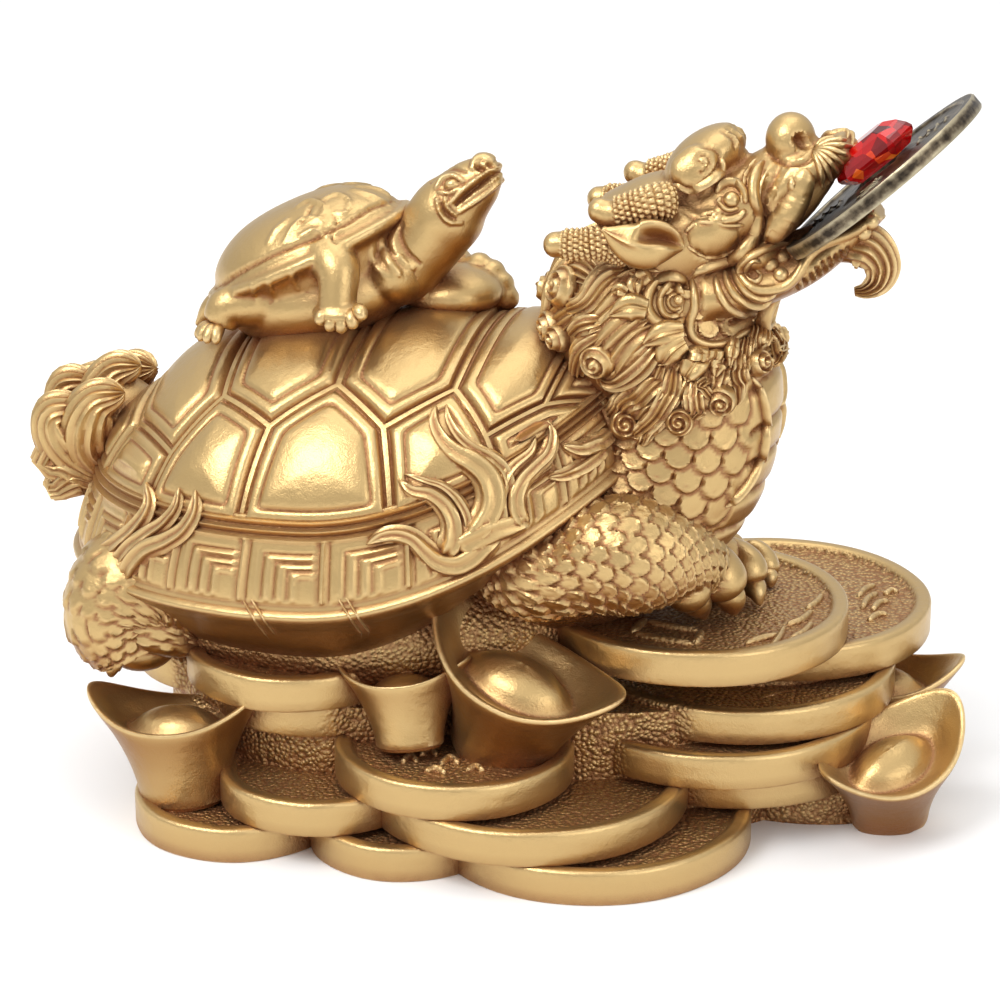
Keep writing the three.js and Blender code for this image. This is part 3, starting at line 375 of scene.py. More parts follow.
def carved(strokes):
    """Relief from strokes drawn on the picture: a line, half-widths and heights in millimetres."""
    samples = 40

    def relief(place, normal):
        seen = pictured(place)
        flank = normal.copy()
        flank[:, 1] = np.where(place[:, 1] > 0, -flank[:, 1], flank[:, 1])
        facing = step(0.02, 0.35, flank @ BACK)
        raised, sunk = np.zeros(len(place)), np.zeros(len(place))
        for line, width, height in strokes:
            points, _ = spline(line, samples)
            s = np.linspace(0, 1, samples)
            wide = along(width, s) * PIXELS_PER_MM
            low, high = points.min(0) - wide.max(), points.max(0) + wide.max()
            inside = np.flatnonzero(((seen > low) & (seen < high)).all(1))
            if not len(inside):
                continue
            gap = np.hypot(seen[inside, None, 0] - points[None, :, 0],
                           seen[inside, None, 1] - points[None, :, 1])
            k = gap.argmin(1)
            near = gap[np.arange(len(inside)), k]
            ahead = unit(np.gradient(points, axis=0))[k]
            offset = seen[inside] - points[k]
            aside = np.abs(offset[:, 0] * ahead[:, 1] - offset[:, 1] * ahead[:, 0])
            t = np.where((k > 0) & (k < samples - 1), aside, near) / wide[k]
            tall = np.interp(s[k], np.linspace(0, 1, len(height)), height)
            value = tall * np.maximum(1 - t * t, 0) * facing[inside]
            raised[inside] = np.maximum(raised[inside], value)
            sunk[inside] = np.minimum(sunk[inside], value)
        return raised + sunk
    return relief


# Camera, placed first
camera_data = bpy.data.cameras.new("camera")
camera_data.sensor_width = 36
camera_data.lens = FOCAL * camera_data.sensor_width / PICTURE
camera_data.clip_start = 0.01
camera = bpy.data.objects.new("camera", camera_data)
camera.matrix_world = Matrix((
    (RIGHT[0], UP[0], BACK[0], EYE[0] * MM), (RIGHT[1], UP[1], BACK[1], EYE[1] * MM),
    (RIGHT[2], UP[2], BACK[2], EYE[2] * MM), (0, 0, 0, 1)))
bpy.context.scene.collection.objects.link(camera)
bpy.context.scene.camera = camera


# Bed of cast coins and ingots
COIN = 4.4
COIN_RIM = 2.0
COIN_FACE = 3.56
STROKE_FOOT = 3.5


def coin(x, y, radius, layer, seed):
    """A cast coin: a slightly worn disc with a raised rim round a sunk, sandy face."""
    inner = radius - COIN_RIM
    profile = [
        (radius - 0.4, -0.06), (radius - 0.1, 0.06), (radius, 0.35), (radius, 1.6), (radius, 2.8),
        (radius, 3.8), (radius - 0.12, 4.15), (radius - 0.35, 4.33), (radius - 0.7, COIN),
        (inner + 0.5, 4.36), (inner + 0.18, 4.22), (inner - 0.1, 3.9), (inner - 0.3, 3.66),
        (inner - 0.7, COIN_FACE), (inner * 0.6, COIN_FACE), (0.6, COIN_FACE)]
    around = circle(144 if radius > 15 else 108)
    r, z = np.array(profile).T[..., None]
    worn = 0.07 * np.sin(3 * around + seed) + 0.05 * np.sin(7 * around + 2.1 * seed)
    keep = np.clip(r / radius, 0, 1) ** 4
    rings = np.stack([
        x + (r - 0.08 + worn * keep) * np.cos(around), y + (r - 0.08 + worn * keep) * np.sin(around),
        layer * COIN + z * np.ones_like(around)], -1)
    return tube(rings)


# Place, radius and layers below of the coins: the fanned stack, the near and the far side
COINS = [
    (29.9, 7.6, 19, 1), (28.4, 4.1, 20, 2), (30.2, 8.3, 20, 3), (33.1, 18.6, 20, 4),
    (25.2, 3.7, 19.5, 5),
    (-27.5, -20, 13, 0), (-5.6, -20.6, 12, 0), (16, -13, 20, 0), (-16.6, -19.2, 13, 1),
    (8.2, -13.7, 20, 1), (0.1, -17.8, 14.8, 2), (-20.5, -10, 13, 3), (-22, -12.1, 14, 4),
    (-29, 14, 14.8, 0), (-6, 20, 14.8, 0), (14, 18, 20, 0), (-20, 17, 14.8, 1),
    (-33, 1, 14.8, 3), (26, 15, 19, 2), (30, 17, 18.5, 3),
]

# Ingots: shares of length, width and height from the foot over the rim to the crown of the
# egg inside, and how far the ends rise
INGOT_LENGTH, INGOT_WIDTH, INGOT_HEIGHT = 24, 15.5, 12.5
INGOT = np.array([
    (0.44, 0.58, 0.00, 0.00), (0.48, 0.62, 0.03, 0.00), (0.51, 0.66, 0.22, 0.00),
    (0.59, 0.75, 0.46, 0.03), (0.74, 0.87, 0.68, 0.13), (0.90, 0.96, 0.82, 0.24),
    (0.975, 0.995, 0.885, 0.29), (0.985, 1.0, 0.91, 0.30), (0.975, 0.985, 0.928, 0.305),
    (0.93, 0.925, 0.925, 0.29), (0.87, 0.85, 0.895, 0.25), (0.78, 0.77, 0.855, 0.18),
    (0.69, 0.69, 0.82, 0.10), (0.60, 0.62, 0.80, 0.03), (0.54, 0.56, 0.80, 0.00),
    (0.48, 0.50, 0.84, 0.00), (0.385, 0.41, 0.915, 0.00), (0.25, 0.27, 0.975, 0.00),
    (0.11, 0.12, 1.01, 0.00), (0.02, 0.02, 1.02, 0.00)])
# Place of the ingots and layers below, then yaw, pitch, roll and scale
INGOTS = [
    (-33.4, -23.5, 0.75, 0, 4, -3, 0.97), (5.3, -17.4, 2.6, -14.5, -19.3, 6.5, 1.12),
    (-4.3, -22.4, 3.0, 1, 8, -14, 0.72), (51.4, 0.9, 0.0, 54, 15, 13, 0.94),
    (46.9, 14.7, 0.6, 3, -1, 1.5, 0.94), (10, 26, 1.9, 175, 6, 10, 1.0),
    (-36, 20, 0.9, 170, 5, 10, 1.0),
]


def ingot(x, y, layers, yaw, pitch, roll, scale):
    """A boat-shaped ingot with an egg-shaped crown, turned and tilted in degrees."""
    share = np.linspace(0, 1, 50)
    u, w, h, rise = [along(column, share)[:, None] for column in INGOT.T]
    h[0] = 0
    angle = circle(76)[None, :]
    end = np.abs(np.cos(angle)) ** 2.4
    local = np.stack([
        u * np.cos(angle) * INGOT_LENGTH / 2,
        w * np.sin(angle) * (1 - 0.16 * end) * INGOT_WIDTH / 2,
        (h + rise * end) * INGOT_HEIGHT], -1) * scale
    spin = (Matrix.Rotation(math.radians(yaw), 3, "Z") @ Matrix.Rotation(math.radians(-pitch), 3, "Y")
            @ Matrix.Rotation(math.radians(roll), 3, "X"))
    return tube(local @ np.array(spin).T + np.array([x, y, layers * COIN]))


def disc(at, size, tall, seed):
    """Rough ground between the coins."""
    around = circle(110)
    rings = []
    for share, z in (
            (1.0, 0.0), (1.0, 0.12), (1.0, 0.25), (1.0, 0.4), (1.0, 0.55), (1.0, 0.7), (1.0, 0.85),
            (0.99, 1.0), (0.9, 1.0), (0.6, 1.0), (0.2, 1.0)):
        rings.append(np.stack([
            at[0] + size[0] * share * np.cos(around), at[1] + size[1] * share * np.sin(around),
            np.full(len(around), z * tall)], -1))
    rings = np.array(rings)
    shift = wobble(rings, 7, seed) * 0.4 + wobble(rings, 2.4, seed + 9) * 0.2
    rings[1:-1, :, :2] += (unit(rings - np.array([at[0], at[1], 0])) * shift[..., None])[1:-1, :, :2]
    rings[7:, :, 2] += shift[7:] * 0.6
    return tube(rings)


# Raised strokes on the faces of the coins, drawn on the picture: level, half-width, lines
TOP_FACE, NEXT_FACE, LOW_FACE = [layers * COIN + STROKE_FOOT for layers in (5, 4, 2)]
COIN_STROKES = [
    (TOP_FACE, 0.62, [[(632, 634), (664, 641), (694, 645)], [(646, 622), (672, 628), (700, 632)],
                      [(632, 634), (638, 627), (647, 621)], [(694, 645), (699, 638), (701, 632)]]),
    (TOP_FACE, 0.5, [[(745, 645), (762, 640), (780, 636)], [(768, 652), (778, 640), (784, 628)],
                     [(790, 640), (803, 634), (812, 624)], [(786, 626), (800, 622), (812, 612)],
                     [(806, 610), (816, 604), (822, 596)]]),
    (NEXT_FACE, 0.5, [[(862, 610), (868, 600), (878, 594)], [(872, 612), (880, 604), (890, 602)],
                      [(858, 598), (866, 590), (876, 586)], [(884, 596), (892, 592), (898, 594)],
                      [(868, 622), (878, 616), (888, 615)]]),
    (LOW_FACE, 0.45, [[(402, 764), (410, 757), (418, 763)], [(420, 757), (429, 750), (437, 757)],
                      [(440, 766), (450, 759), (459, 765)], [(424, 773), (436, 770), (446, 775)],
                      [(462, 757), (472, 753), (480, 759)], [(466, 772), (476, 768), (484, 773)]]),
]


def coin_marks():
    """The raised strokes on the faces of the coins."""
    marks = []
    for level, half, lines in COIN_STROKES:
        for line in lines:
            marks.append(sweep(on_level(line, level), [half * 0.8, half, half * 0.8], [0.55, 0.7, 0.55],
                               sides=12, steps=16, rounded=0.15))
    return marks


# Middle, half-sizes, height and seed of each piece of ground
GROUNDS = [((8, 8), (33, 23), 3.8 * COIN, 1), ((-18, 0), (24, 21), 3.8 * COIN, 2),
           ((38, 4), (14, 8), 1.1 * COIN, 3)]
bed_shells = [disc(*place) for place in GROUNDS]
bed_shells += [coin(*place, seed) for seed, place in enumerate(COINS)]
bed_shells += [ingot(*place) for place in INGOTS]
bed_shells += coin_marks()


# Carapace: the middle of its foot, its half-sizes, its slope, how far its front edge rises, and
# the angle from the top at which the scutes end
SHELL_X, SHELL_Z = -16.6, 32.5
HALF_LENGTH, HALF_WIDTH, SHELL_HEIGHT = 36.0, 29.0, 28.4
SHELL_SLOPE = math.tan(math.radians(3))
FRONT_LIFT = 14.4
COSTAL_EDGE = math.radians(70)


def on_shell(polar, around, proud):
    """A point of the carapace at an angle from the top and round it, raised along its normal."""
    c, s, sp, cp = np.cos(around), np.sin(around), np.sin(polar), np.cos(polar)
    x, y, z = HALF_LENGTH * sp * c, HALF_WIDTH * sp * s, SHELL_HEIGHT * cp
    lift = FRONT_LIFT * np.maximum(c, 0) ** 2 * sp * sp + SHELL_SLOPE * x
    normal = unit(np.stack(np.broadcast_arrays(
        x / HALF_LENGTH ** 2, y / HALF_WIDTH ** 2, z / SHELL_HEIGHT ** 2), -1))
    point = np.stack(np.broadcast_arrays(SHELL_X + x, y, SHELL_Z + z + lift), -1)
    return point + normal * np.broadcast_to(proud, normal.shape[:-1])[..., None]


def on_disc(p, proud):
    """The scutes are drawn in a unit disc: its centre is the top, its edge the costal edge."""
    p = np.asarray(p, float)
    return on_shell(np.hypot(p[..., 0], p[..., 1]) * COSTAL_EDGE,
                    np.arctan2(p[..., 1], p[..., 0]), proud)


# Corners of the scutes in the unit disc: the ends of the vertebral and of the costal seams
UPPER = [(x, -0.36 if i == 0 else -0.46) for i, x in enumerate((-0.68, -0.32, 0.04, 0.40, 0.74))]
LOWER = [(x, -0.63) for x in (-0.50, -0.14, 0.22, 0.57)]
REAR_SEAM, FRONT_SEAM = math.radians(207), math.radians(-20)


def edge_point(angle):
    """A point of the costal edge."""
    return (math.cos(angle), math.sin(angle))


def edge_below(p):
    """The point of the costal edge straight out from a corner."""
    return edge_point(math.atan2(p[1], p[0]))


def flip(p):
    """The same corner on the far side."""
    return (p[0], -p[1])


def scute_outlines():
    """Corners of the vertebral and costal scutes."""
    plates = []
    for i in range(4):
        side = [UPPER[i], LOWER[i], UPPER[i + 1]]
        plates.append(side + [flip(p) for p in reversed(side)])
    plates.append([UPPER[0], flip(UPPER[0]), flip(edge_point(REAR_SEAM)), edge_point(REAR_SEAM)])
    plates.append([UPPER[4], edge_point(FRONT_SEAM), flip(edge_point(FRONT_SEAM)), flip(UPPER[4])])
    costal = [[edge_point(REAR_SEAM), UPPER[0], LOWER[0], edge_below(LOWER[0])]]
    for i in range(3):
        costal.append([edge_below(LOWER[i]), LOWER[i], UPPER[i + 1], LOWER[i + 1],
                       edge_below(LOWER[i + 1])])
    costal.append([edge_below(LOWER[3]), LOWER[3], UPPER[4], edge_point(FRONT_SEAM)])
    plates += costal + [[flip(p) for p in plate] for plate in costal]
    return plates


def is_edge(p):
    """Whether a corner lies on the costal edge."""
    return abs(math.hypot(*p) - 1) < 1e-6


def side_points(a, b):
    """Points from a towards b, drawn from the same end for both scutes that share the side."""
    swapped = (a[0], a[1]) > (b[0], b[1])
    p, q = (b, a) if swapped else (a, b)
    count = max(4, round(math.dist(p, q) * POINTS_PER_UNIT))
    t = np.linspace(0, 1, count + 1)[:, None]
    if is_edge(p) and is_edge(q):
        start = math.atan2(p[1], p[0])
        swing = (math.atan2(q[1], q[0]) - start + math.pi) % TURN - math.pi
        points = np.hstack([np.cos(start + swing * t), np.sin(start + swing * t)])
    else:
        points = np.asarray(p) * (1 - t) + np.asarray(q) * t
    if swapped:
        points = points[::-1]
    return points[:-1]


# Height of a scute at a distance from its seam, in millimetres: a strip between two grooves,
# a bevelled edge, a fine inner line, and the smooth crown
SCUTE_PROFILE = [
    (0.00, 0.10), (0.28, 0.08), (0.42, -0.22), (0.62, -0.30), (0.80, 0.02), (0.98, 0.42),
    (1.25, 0.56), (1.70, 0.60), (2.00, 0.56), (2.15, 0.40), (2.32, 0.42), (2.50, 0.66),
    (2.90, 0.86), (3.50, 0.98)]
# Millimetres in a unit of the disc, and points along it
DISC_MM, POINTS_PER_UNIT = 37.0, 46


def scutes():
    """The upper shell with its scutes, closed below by a fan to the middle."""
    points, quads, fans, edge = [], [], [], []
    start = 0
    for corners in scute_outlines():
        area = sum(a[0] * b[1] - b[0] * a[1] for a, b in zip(corners, corners[1:] + corners[:1]))
        if area < 0:
            corners = corners[::-1]
        sides = [side_points(a, b) for a, b in zip(corners, corners[1:] + corners[:1])]
        ring = np.vstack(sides)
        n = len(ring)
        centre = ring.mean(0)
        # Inner rings step in square to the outline, and their corners are eased
        ahead = unit(np.roll(ring, -1, 0) - ring)
        before = np.roll(ahead, 1, 0)
        normal = np.stack([-ahead[:, 1], ahead[:, 0]], 1)
        normal_before = np.stack([-before[:, 1], before[:, 0]], 1)
        mitre = (normal + normal_before) / (1 + (normal * normal_before).sum(1))[:, None]
        # Every side keeps its points between its own two corners
        first = np.cumsum([0] + [len(side) for side in sides])
        rows = []
        for distance, height in SCUTE_PROFILE:
            d = distance / DISC_MM
            q = ring + mitre * d
            for k, side in enumerate(sides):
                a, b = first[k], first[k + 1] % n
                if is_edge(corners[k]) and is_edge(corners[(k + 1) % len(corners)]):
                    angle = np.unwrap(np.arctan2(q[[a, b], 1], q[[a, b], 0]))
                    t = np.linspace(0, 1, len(side) + 1)[:-1]
                    sweep_angle = angle[0] * (1 - t) + angle[1] * t
                    q[a:a + len(side)] = np.stack(
                        [np.cos(sweep_angle), np.sin(sweep_angle)], 1) * (1 - d)
                else:
                    t = np.linspace(0, 1, len(side) + 1)[:-1, None]
                    q[a:a + len(side)] = q[a] * (1 - t) + q[b] * t
            ease = int(distance > 1.1) + 2 * int(distance > 2.2)
            for _ in range(ease):
                q = 0.5 * q + 0.25 * (np.roll(q, 1, 0) + np.roll(q, -1, 0))
            rows.append((q, np.full(n, height)))
        last = rows[-1][0]
        for share in (0.18, 0.38, 0.58, 0.76, 0.92):
            q = last * (1 - share) + centre * share
            rows.append((q, np.full(n, 0.98 + 0.42 * (1 - (1 - share) ** 2))))
        for q, height in rows:
            points.append(on_disc(q, height))
        points.append(on_disc(centre[None], 1.40))
        i = np.arange(n)
        j = (i + 1) % n
        for r in range(len(rows) - 1):
            a = start + r * n
            quads.append(np.stack([a + i, a + j, a + n + j, a + n + i], -1))
        hub = start + len(rows) * n
        fans.append(np.stack([start + (len(rows) - 1) * n + i, start + (len(rows) - 1) * n + j,
                              np.full(n, hub)], -1))
        radius = np.hypot(*ring.T)
        on_rim = (np.abs(radius[i] - 1) < 1e-6) & (np.abs(radius[j] - 1) < 1e-6)
        edge.append(np.stack([start + i, start + j], -1)[on_rim])
        start = hub + 1
    points = np.vstack(points)
    edge = np.vstack(edge)
    inside = len(points)
    points = np.vstack([points, [[SHELL_X, 0, SHELL_Z]]])
    fans.append(np.stack([edge[:, 1], edge[:, 0], np.full(len(edge), inside)], -1))
    return welded(points, np.vstack(quads), np.vstack(fans))


def welded(points, quads, fans):
    """Joins points that lie on each other."""
    key = np.round(points, 4)
    _, first, index = np.unique(key, axis=0, return_index=True, return_inverse=True)
    index = index.reshape(-1)
    return outward(points[first], index[quads], index[fans])


# Marginal plates round the rim
PLATES = 22


def fret(u, v):
    """Carving of a marginal plate: nested angled lines, between upright bars."""
    bar = 0.34 * ridge(u - 0.035, 0.05) - 0.28 * (ridge(u - 0.10, 0.05) + ridge(u + 0.03, 0.05))
    bar += -0.28 * ridge(u - 0.97, 0.05)
    nest = np.minimum((u - 0.20) / 0.80, (v - 0.10) / 0.72)
    lines = np.cos(nest * 5 * TURN - 0.6)
    inside = step(0.02, 0.06, nest) * step(0.72, 0.66, nest) * step(0.96, 0.92, u)
    inside *= step(0.97, 0.92, v)
    return bar + 0.24 * lines * inside


def rim():
    """Fretted marginal plates, the edge of the shell and the smooth bowl below it."""
    around = circle(PLATES * 32)
    share = (around * PLATES / TURN + 0.17) % 1.0
    near = np.sin(around) < 0
    u = np.where(near, share, 1 - share)
    rings = [on_shell(math.radians(60), around, -3.0), on_shell(math.radians(66), around, -0.9)]
    for polar in np.linspace(67.4, 89.4, 42):
        v = (polar - 73.2) / (87.6 - 73.2)
        base = 0.35 + 0.75 * step(73, 89, polar)
        line = (0.55 * ridge(polar - 68.6, 0.75) - 0.25 * ridge(polar - 69.7, 0.6)
                + 0.45 * ridge(polar - 70.7, 0.75) - 0.30 * ridge(polar - 71.8, 0.7)
                + 0.30 * ridge(polar - 72.7, 0.7) - 0.25 * ridge(polar - 88.1, 0.55))
        carving = fret(u, v) * step(-0.02, 0.04, v) * step(1.03, 0.98, v)
        rings.append(on_shell(math.radians(polar), around, base + line + carving))
    lip = [(90.0, 1.75), (90.6, 1.9), (91.2, 1.85)]
    rings += [on_shell(math.radians(polar), around, proud) for polar, proud in lip]
    edge = on_shell(math.radians(90), around, 0)
    centre = np.array([SHELL_X, 0, SHELL_Z])
    # The bowl: shares of the edge's distance, and how far below it
    skirt = [(1.035, 1.35), (1.01, 2.0), (0.985, 2.5), (0.955, 3.2), (0.915, 4.4), (0.87, 5.9),
             (0.81, 7.6), (0.74, 9.2), (0.67, 10.3)]
    for s, drop in skirt:
        ring = centre + (edge - centre) * s
        ring[:, 2] = edge[:, 2] - drop
        rings.append(ring)
    return tube(rings)


carapace_shells = [scutes(), rim()]
carapace_tree = tree_of(carapace_shells)


def traced(tree, pixels, count):
    """A line drawn on the picture, laid on the surface: its points and the surface's normals."""
    line, _ = spline(pixels, count)
    points, normals = [], []
    for x, y in line:
        direction = ray(x, y)
        hit, normal, _, _ = tree.ray_cast(Vector(EYE), Vector(direction))
        if hit is None:
            guess = EYE + direction * (np.linalg.norm(points[-1] - EYE) if points else DISTANCE)
            hit, normal, _, _ = tree.find_nearest(Vector(guess))
        points.append(np.array(hit))
        normals.append(np.array(normal))
    points, normals = np.array(points), np.array(normals)
    for _ in range(3):
        points[1:-1] = 0.5 * points[1:-1] + 0.25 * (points[:-2] + points[2:])
    for _ in range(8):
        normals[1:-1] = 0.5 * normals[1:-1] + 0.25 * (normals[:-2] + normals[2:])
    return points, unit(normals)


def laid(tree, pixels, width, height, sink=0.5, sides=16, steps=40, relief=None, rounded=0.12):
    """A raised stroke laid on the surface along a line of the picture."""
    points, normals = traced(tree, pixels, steps + 1)
    ahead = unit(np.gradient(points, axis=0))
    s = np.linspace(0, 1, steps + 1)
    return ribbon(points - normals * sink, ahead, normals, s, width, height, sides, relief, rounded)


def grooved(count, depth):
    """Fine grooves along a stroke."""
    def relief(s, angle):
        return depth * np.cos(count * angle + 0.8 * np.sin(5 * s)) * step(0.0, 0.15, s)
    return relief


# The carapace without its grooves, for strokes that run smoothly over them
smooth_rings = [on_shell(math.radians(polar), circle(96), 0.75) for polar in (
    1, 8, 16, 24, 32, 40, 48, 56, 64, 72, 80, 86, 91)]
smooth_rings.append(on_shell(math.radians(70), circle(96), -6))
smooth_tree = tree_of([tube(smooth_rings)])

# Flame tongues, drawn on the picture: line, half-widths in millimetres
FLAMES = [
    ([(436, 404), (434, 420), (441, 438), (456, 453), (476, 464), (489, 478), (493, 496), (488, 514),
      (476, 530), (464, 545)], [0.35, 0.8, 1.2, 1.5, 1.75, 1.9, 1.95, 1.9, 1.8, 1.6]),
    ([(446, 404), (449, 420), (458, 436), (474, 450), (490, 458), (503, 470), (508, 486), (505, 502)],
     [0.25, 0.5, 0.7, 0.8, 0.9, 1.0, 1.0, 0.8]),
    ([(547, 419), (552, 436), (547, 454), (533, 468), (521, 481), (514, 498), (516, 515), (526, 526)],
     [0.3, 0.7, 0.9, 1.0, 1.15, 1.35, 1.5, 1.3]),
    ([(536, 436), (530, 452), (514, 466), (502, 482), (498, 502), (498, 520), (490, 536)],
     [0.3, 0.6, 0.8, 1.0, 1.2, 1.4, 1.4]),
    ([(398, 480), (412, 490), (431, 494), (446, 506), (453, 522), (452, 540), (444, 556)],
     [0.35, 0.8, 1.1, 1.25, 1.35, 1.5, 1.5]),
    ([(404, 474), (422, 480), (442, 486), (456, 498), (465, 514), (468, 532)],
     [0.2, 0.4, 0.5, 0.6, 0.7, 0.6]),
    ([(366, 545), (382, 536), (398, 534), (412, 538), (424, 549), (438, 561), (454, 564), (470, 557),
      (484, 545), (500, 535)], [0.4, 0.8, 1.0, 1.1, 1.3, 1.5, 1.7, 1.7, 1.6, 1.4]),
    ([(455, 548), (474, 536), (494, 528), (512, 524), (530, 520)], [1.6, 1.9, 1.9, 1.6, 0.8]),
    ([(612, 432), (598, 444), (580, 450), (562, 446)], [0.9, 1.2, 1.0, 0.4]),
    ([(606, 446), (590, 462), (568, 474), (548, 478)], [0.9, 1.1, 0.9, 0.4]),
    ([(196, 488), (196, 510), (186, 528), (168, 540), (148, 548), (134, 562), (126, 580)],
     [0.3, 0.8, 1.0, 1.2, 1.4, 1.5, 1.1]),
    ([(180, 486), (178, 506), (166, 522), (148, 534), (130, 548), (116, 566)],
     [0.3, 0.7, 0.9, 1.1, 1.2, 1.0]),
    ([(146, 482), (151, 504), (140, 524), (122, 540), (106, 552), (98, 566)],
     [0.3, 0.8, 1.1, 1.2, 1.3, 1.0]),
]
for flame, width in FLAMES:
    carapace_shells += both([
        laid(smooth_tree, flame, width, [0.5 * w + 0.55 for w in width], sink=0.1, sides=32, steps=60,
             relief=grooved(6, 0.2))])
# Scratches left in the casting below the rim
for x, y in ((243, 600), (251, 598), (338, 598), (346, 597)):
    carapace_shells += both([laid(carapace_tree, [(x, y), (x + 11, y + 18), (x + 24, y + 36)],
                                  [0.14, 0.2, 0.14], [0.3, 0.35, 0.3], sink=0.1, sides=8, steps=20)])


# Materials
def new_material(name):
    """A material, its node tree and its shader."""
    material = bpy.data.materials.new(name)
    material.use_nodes = True
    return material, material.node_tree, material.node_tree.nodes["Principled BSDF"]


def add_node(tree, kind, inputs=None, **settings):
    """A node whose inputs are values or the outputs of other nodes."""
    node = tree.nodes.new(kind)
    for name, value in settings.items():
        setattr(node, name, value)
    for name, value in (inputs or {}).items():
        if isinstance(value, bpy.types.NodeSocket):
            tree.links.new(value, node.inputs[name])
        else:
            node.inputs[name].default_value = value
    return node


def ramp(tree, factor, stops):
    """A colour ramp through stops of position and colour."""
    node = add_node(tree, "ShaderNodeValToRGB", {"Fac": factor})
    elements = node.color_ramp.elements
    for element, (position, colour) in zip(elements, (stops[0], stops[-1])):
        element.position = position
        element.color = (*colour, 1)
    for position, colour in stops[1:-1]:
        elements.new(position).color = (*colour, 1)
    return node.outputs["Color"]


def gold_paint(name, sandy=False):
    """Cast resin in metallic gold paint: dark and coppery where it is hollow or faces down, as painted
    shade, and paler where it is sharp, partly wear and partly a painted highlight.
    """
    material, tree, shader = new_material(name)
    place = add_node(tree, "ShaderNodeTexCoord").outputs["Object"]

    def noise(scale, detail=3.0, roughness=0.55):
        return add_node(tree, "ShaderNodeTexNoise", {
            "Vector": place, "Scale": scale, "Detail": detail, "Roughness": roughness}).outputs["Fac"]

    def spread(value, low, high, to_low=0.0, to_high=1.0):
        return add_node(tree, "ShaderNodeMapRange", {
            "Value": value, "From Min": low, "From Max": high, "To Min": to_low,
            "To Max": to_high}).outputs["Result"]

    def combined(operation, a, b):
        return add_node(tree, "ShaderNodeMath", {0: a, 1: b}, operation=operation,
                        use_clamp=True).outputs["Value"]

    def blend(factor, a, b):
        return add_node(tree, "ShaderNodeMix", {"Factor": factor, 6: a, 7: b},
                        data_type="RGBA").outputs[2]

    def mask(attribute):
        return add_node(tree, "ShaderNodeAttribute", attribute_name=attribute).outputs["Fac"]

    def bump(height, distance, strength, under=None, invert=False):
        inputs = {"Height": height, "Distance": distance, "Strength": strength}
        if under is not None:
            inputs["Normal"] = under
        return add_node(tree, "ShaderNodeBump", inputs, invert=invert).outputs["Normal"]

    # Painted shade: where ambient occlusion finds surfaces close by, and where the mesh is hollow, the
    # colour turns to brown, darkening creases, recesses and gaps between parts.
    occlusion = add_node(tree, "ShaderNodeAmbientOcclusion", {"Distance": 0.004}, samples=4)
    shade = spread(occlusion.outputs["AO"], 0.80, 0.28)
    mottled_painted_shade = combined("MULTIPLY", shade, spread(noise(420), 0.25, 0.75, 0.65, 1.15))
    painted_shade_mask = combined("MAXIMUM", mottled_painted_shade, combined("MULTIPLY", mask("hollow"), 0.85))
    if sandy:
        # Grains of the sandy faces: pale tops, with painted shade in brown between them
        grains = add_node(tree, "ShaderNodeTexVoronoi", {"Vector": place, "Scale": 1700})
        painted_shade_between_grains = spread(grains.outputs["Distance"], 0.25, 0.7, 0.05, 0.85)
        painted_shade_mask = combined("MAXIMUM", painted_shade_mask, combined("MULTIPLY", mask("sand"), painted_shade_between_grains))
    gold, painted_underside_shade = (0.56, 0.385, 0.168, 1), (0.27, 0.114, 0.028, 1)
    painted_shade_brown, worn_and_highlight_gold = (0.33, 0.152, 0.070, 1), (0.78, 0.58, 0.30, 1)
    # Painted shade on the undersides: faces turned down are blended to dark brown.
    gold_with_painted_underside_shade = blend(combined("MULTIPLY", mask("under"), 0.95), gold, painted_underside_shade)
    # Painted shade: the gold is blended to brown by the painted shade mask.
    sunk = blend(painted_shade_mask, gold_with_painted_underside_shade, painted_shade_brown)
    # Paler gold on sharp convex edges, partly rubbed wear and partly a painted highlight.
    worn = combined("MULTIPLY", mask("edge"), spread(noise(700), 0.3, 0.7, 0.35, 0.9))
    tree.links.new(blend(worn, sunk, worn_and_highlight_gold), shader.inputs["Base Color"])
    tree.links.new(spread(painted_shade_mask, 0.0, 1.0, 0.33, 0.58), shader.inputs["Roughness"])
    shader.inputs["Metallic"].default_value = 0.92
    # The uneven cast, fine flakes of the paint, the grain of the hollows and the sand
    surface = bump(noise(520, 3.0, 0.62), 0.00035, 0.3)
    surface = bump(noise(5200, 2.0), 0.0001, 0.35, surface)
    surface = bump(noise(2300, 2.5, 0.6), 0.0003, spread(painted_shade_mask, 0.15, 0.8, 0.0, 0.7), surface)
    if sandy:
        surface = bump(grains.outputs["Distance"], 0.00035, mask("sand"), surface, invert=True)
    tree.links.new(surface, shader.inputs["Normal"])
    return material


def bronze_metal(name):
    """Old bronze: nearly black in the hollows, worn to pale brass along rims and strokes."""
    material, tree, shader = new_material(name)
    place = add_node(tree, "ShaderNodeTexCoord").outputs["Object"]
    mottle = add_node(tree, "ShaderNodeTexNoise", {"Vector": place, "Scale": 900, "Detail": 4})
    edge = add_node(tree, "ShaderNodeAttribute", attribute_name="edge")
    wear = add_node(tree, "ShaderNodeMath", {
        0: edge.outputs["Fac"], 1: 0.9, 2: mottle.outputs["Fac"]}, operation="MULTIPLY_ADD")
    colour = ramp(tree, wear.outputs["Value"], [
        (0.42, (0.035, 0.026, 0.018)), (0.62, (0.13, 0.10, 0.065)), (1.0, (0.42, 0.36, 0.24))])
    tree.links.new(colour, shader.inputs["Base Color"])
    shader.inputs["Metallic"].default_value = 0.85
    shader.inputs["Roughness"].default_value = 0.38
    bump = add_node(tree, "ShaderNodeBump", {
        "Height": mottle.outputs["Fac"], "Strength": 0.3, "Distance": 0.0002})
    tree.links.new(bump.outputs["Normal"], shader.inputs["Normal"])
    return material


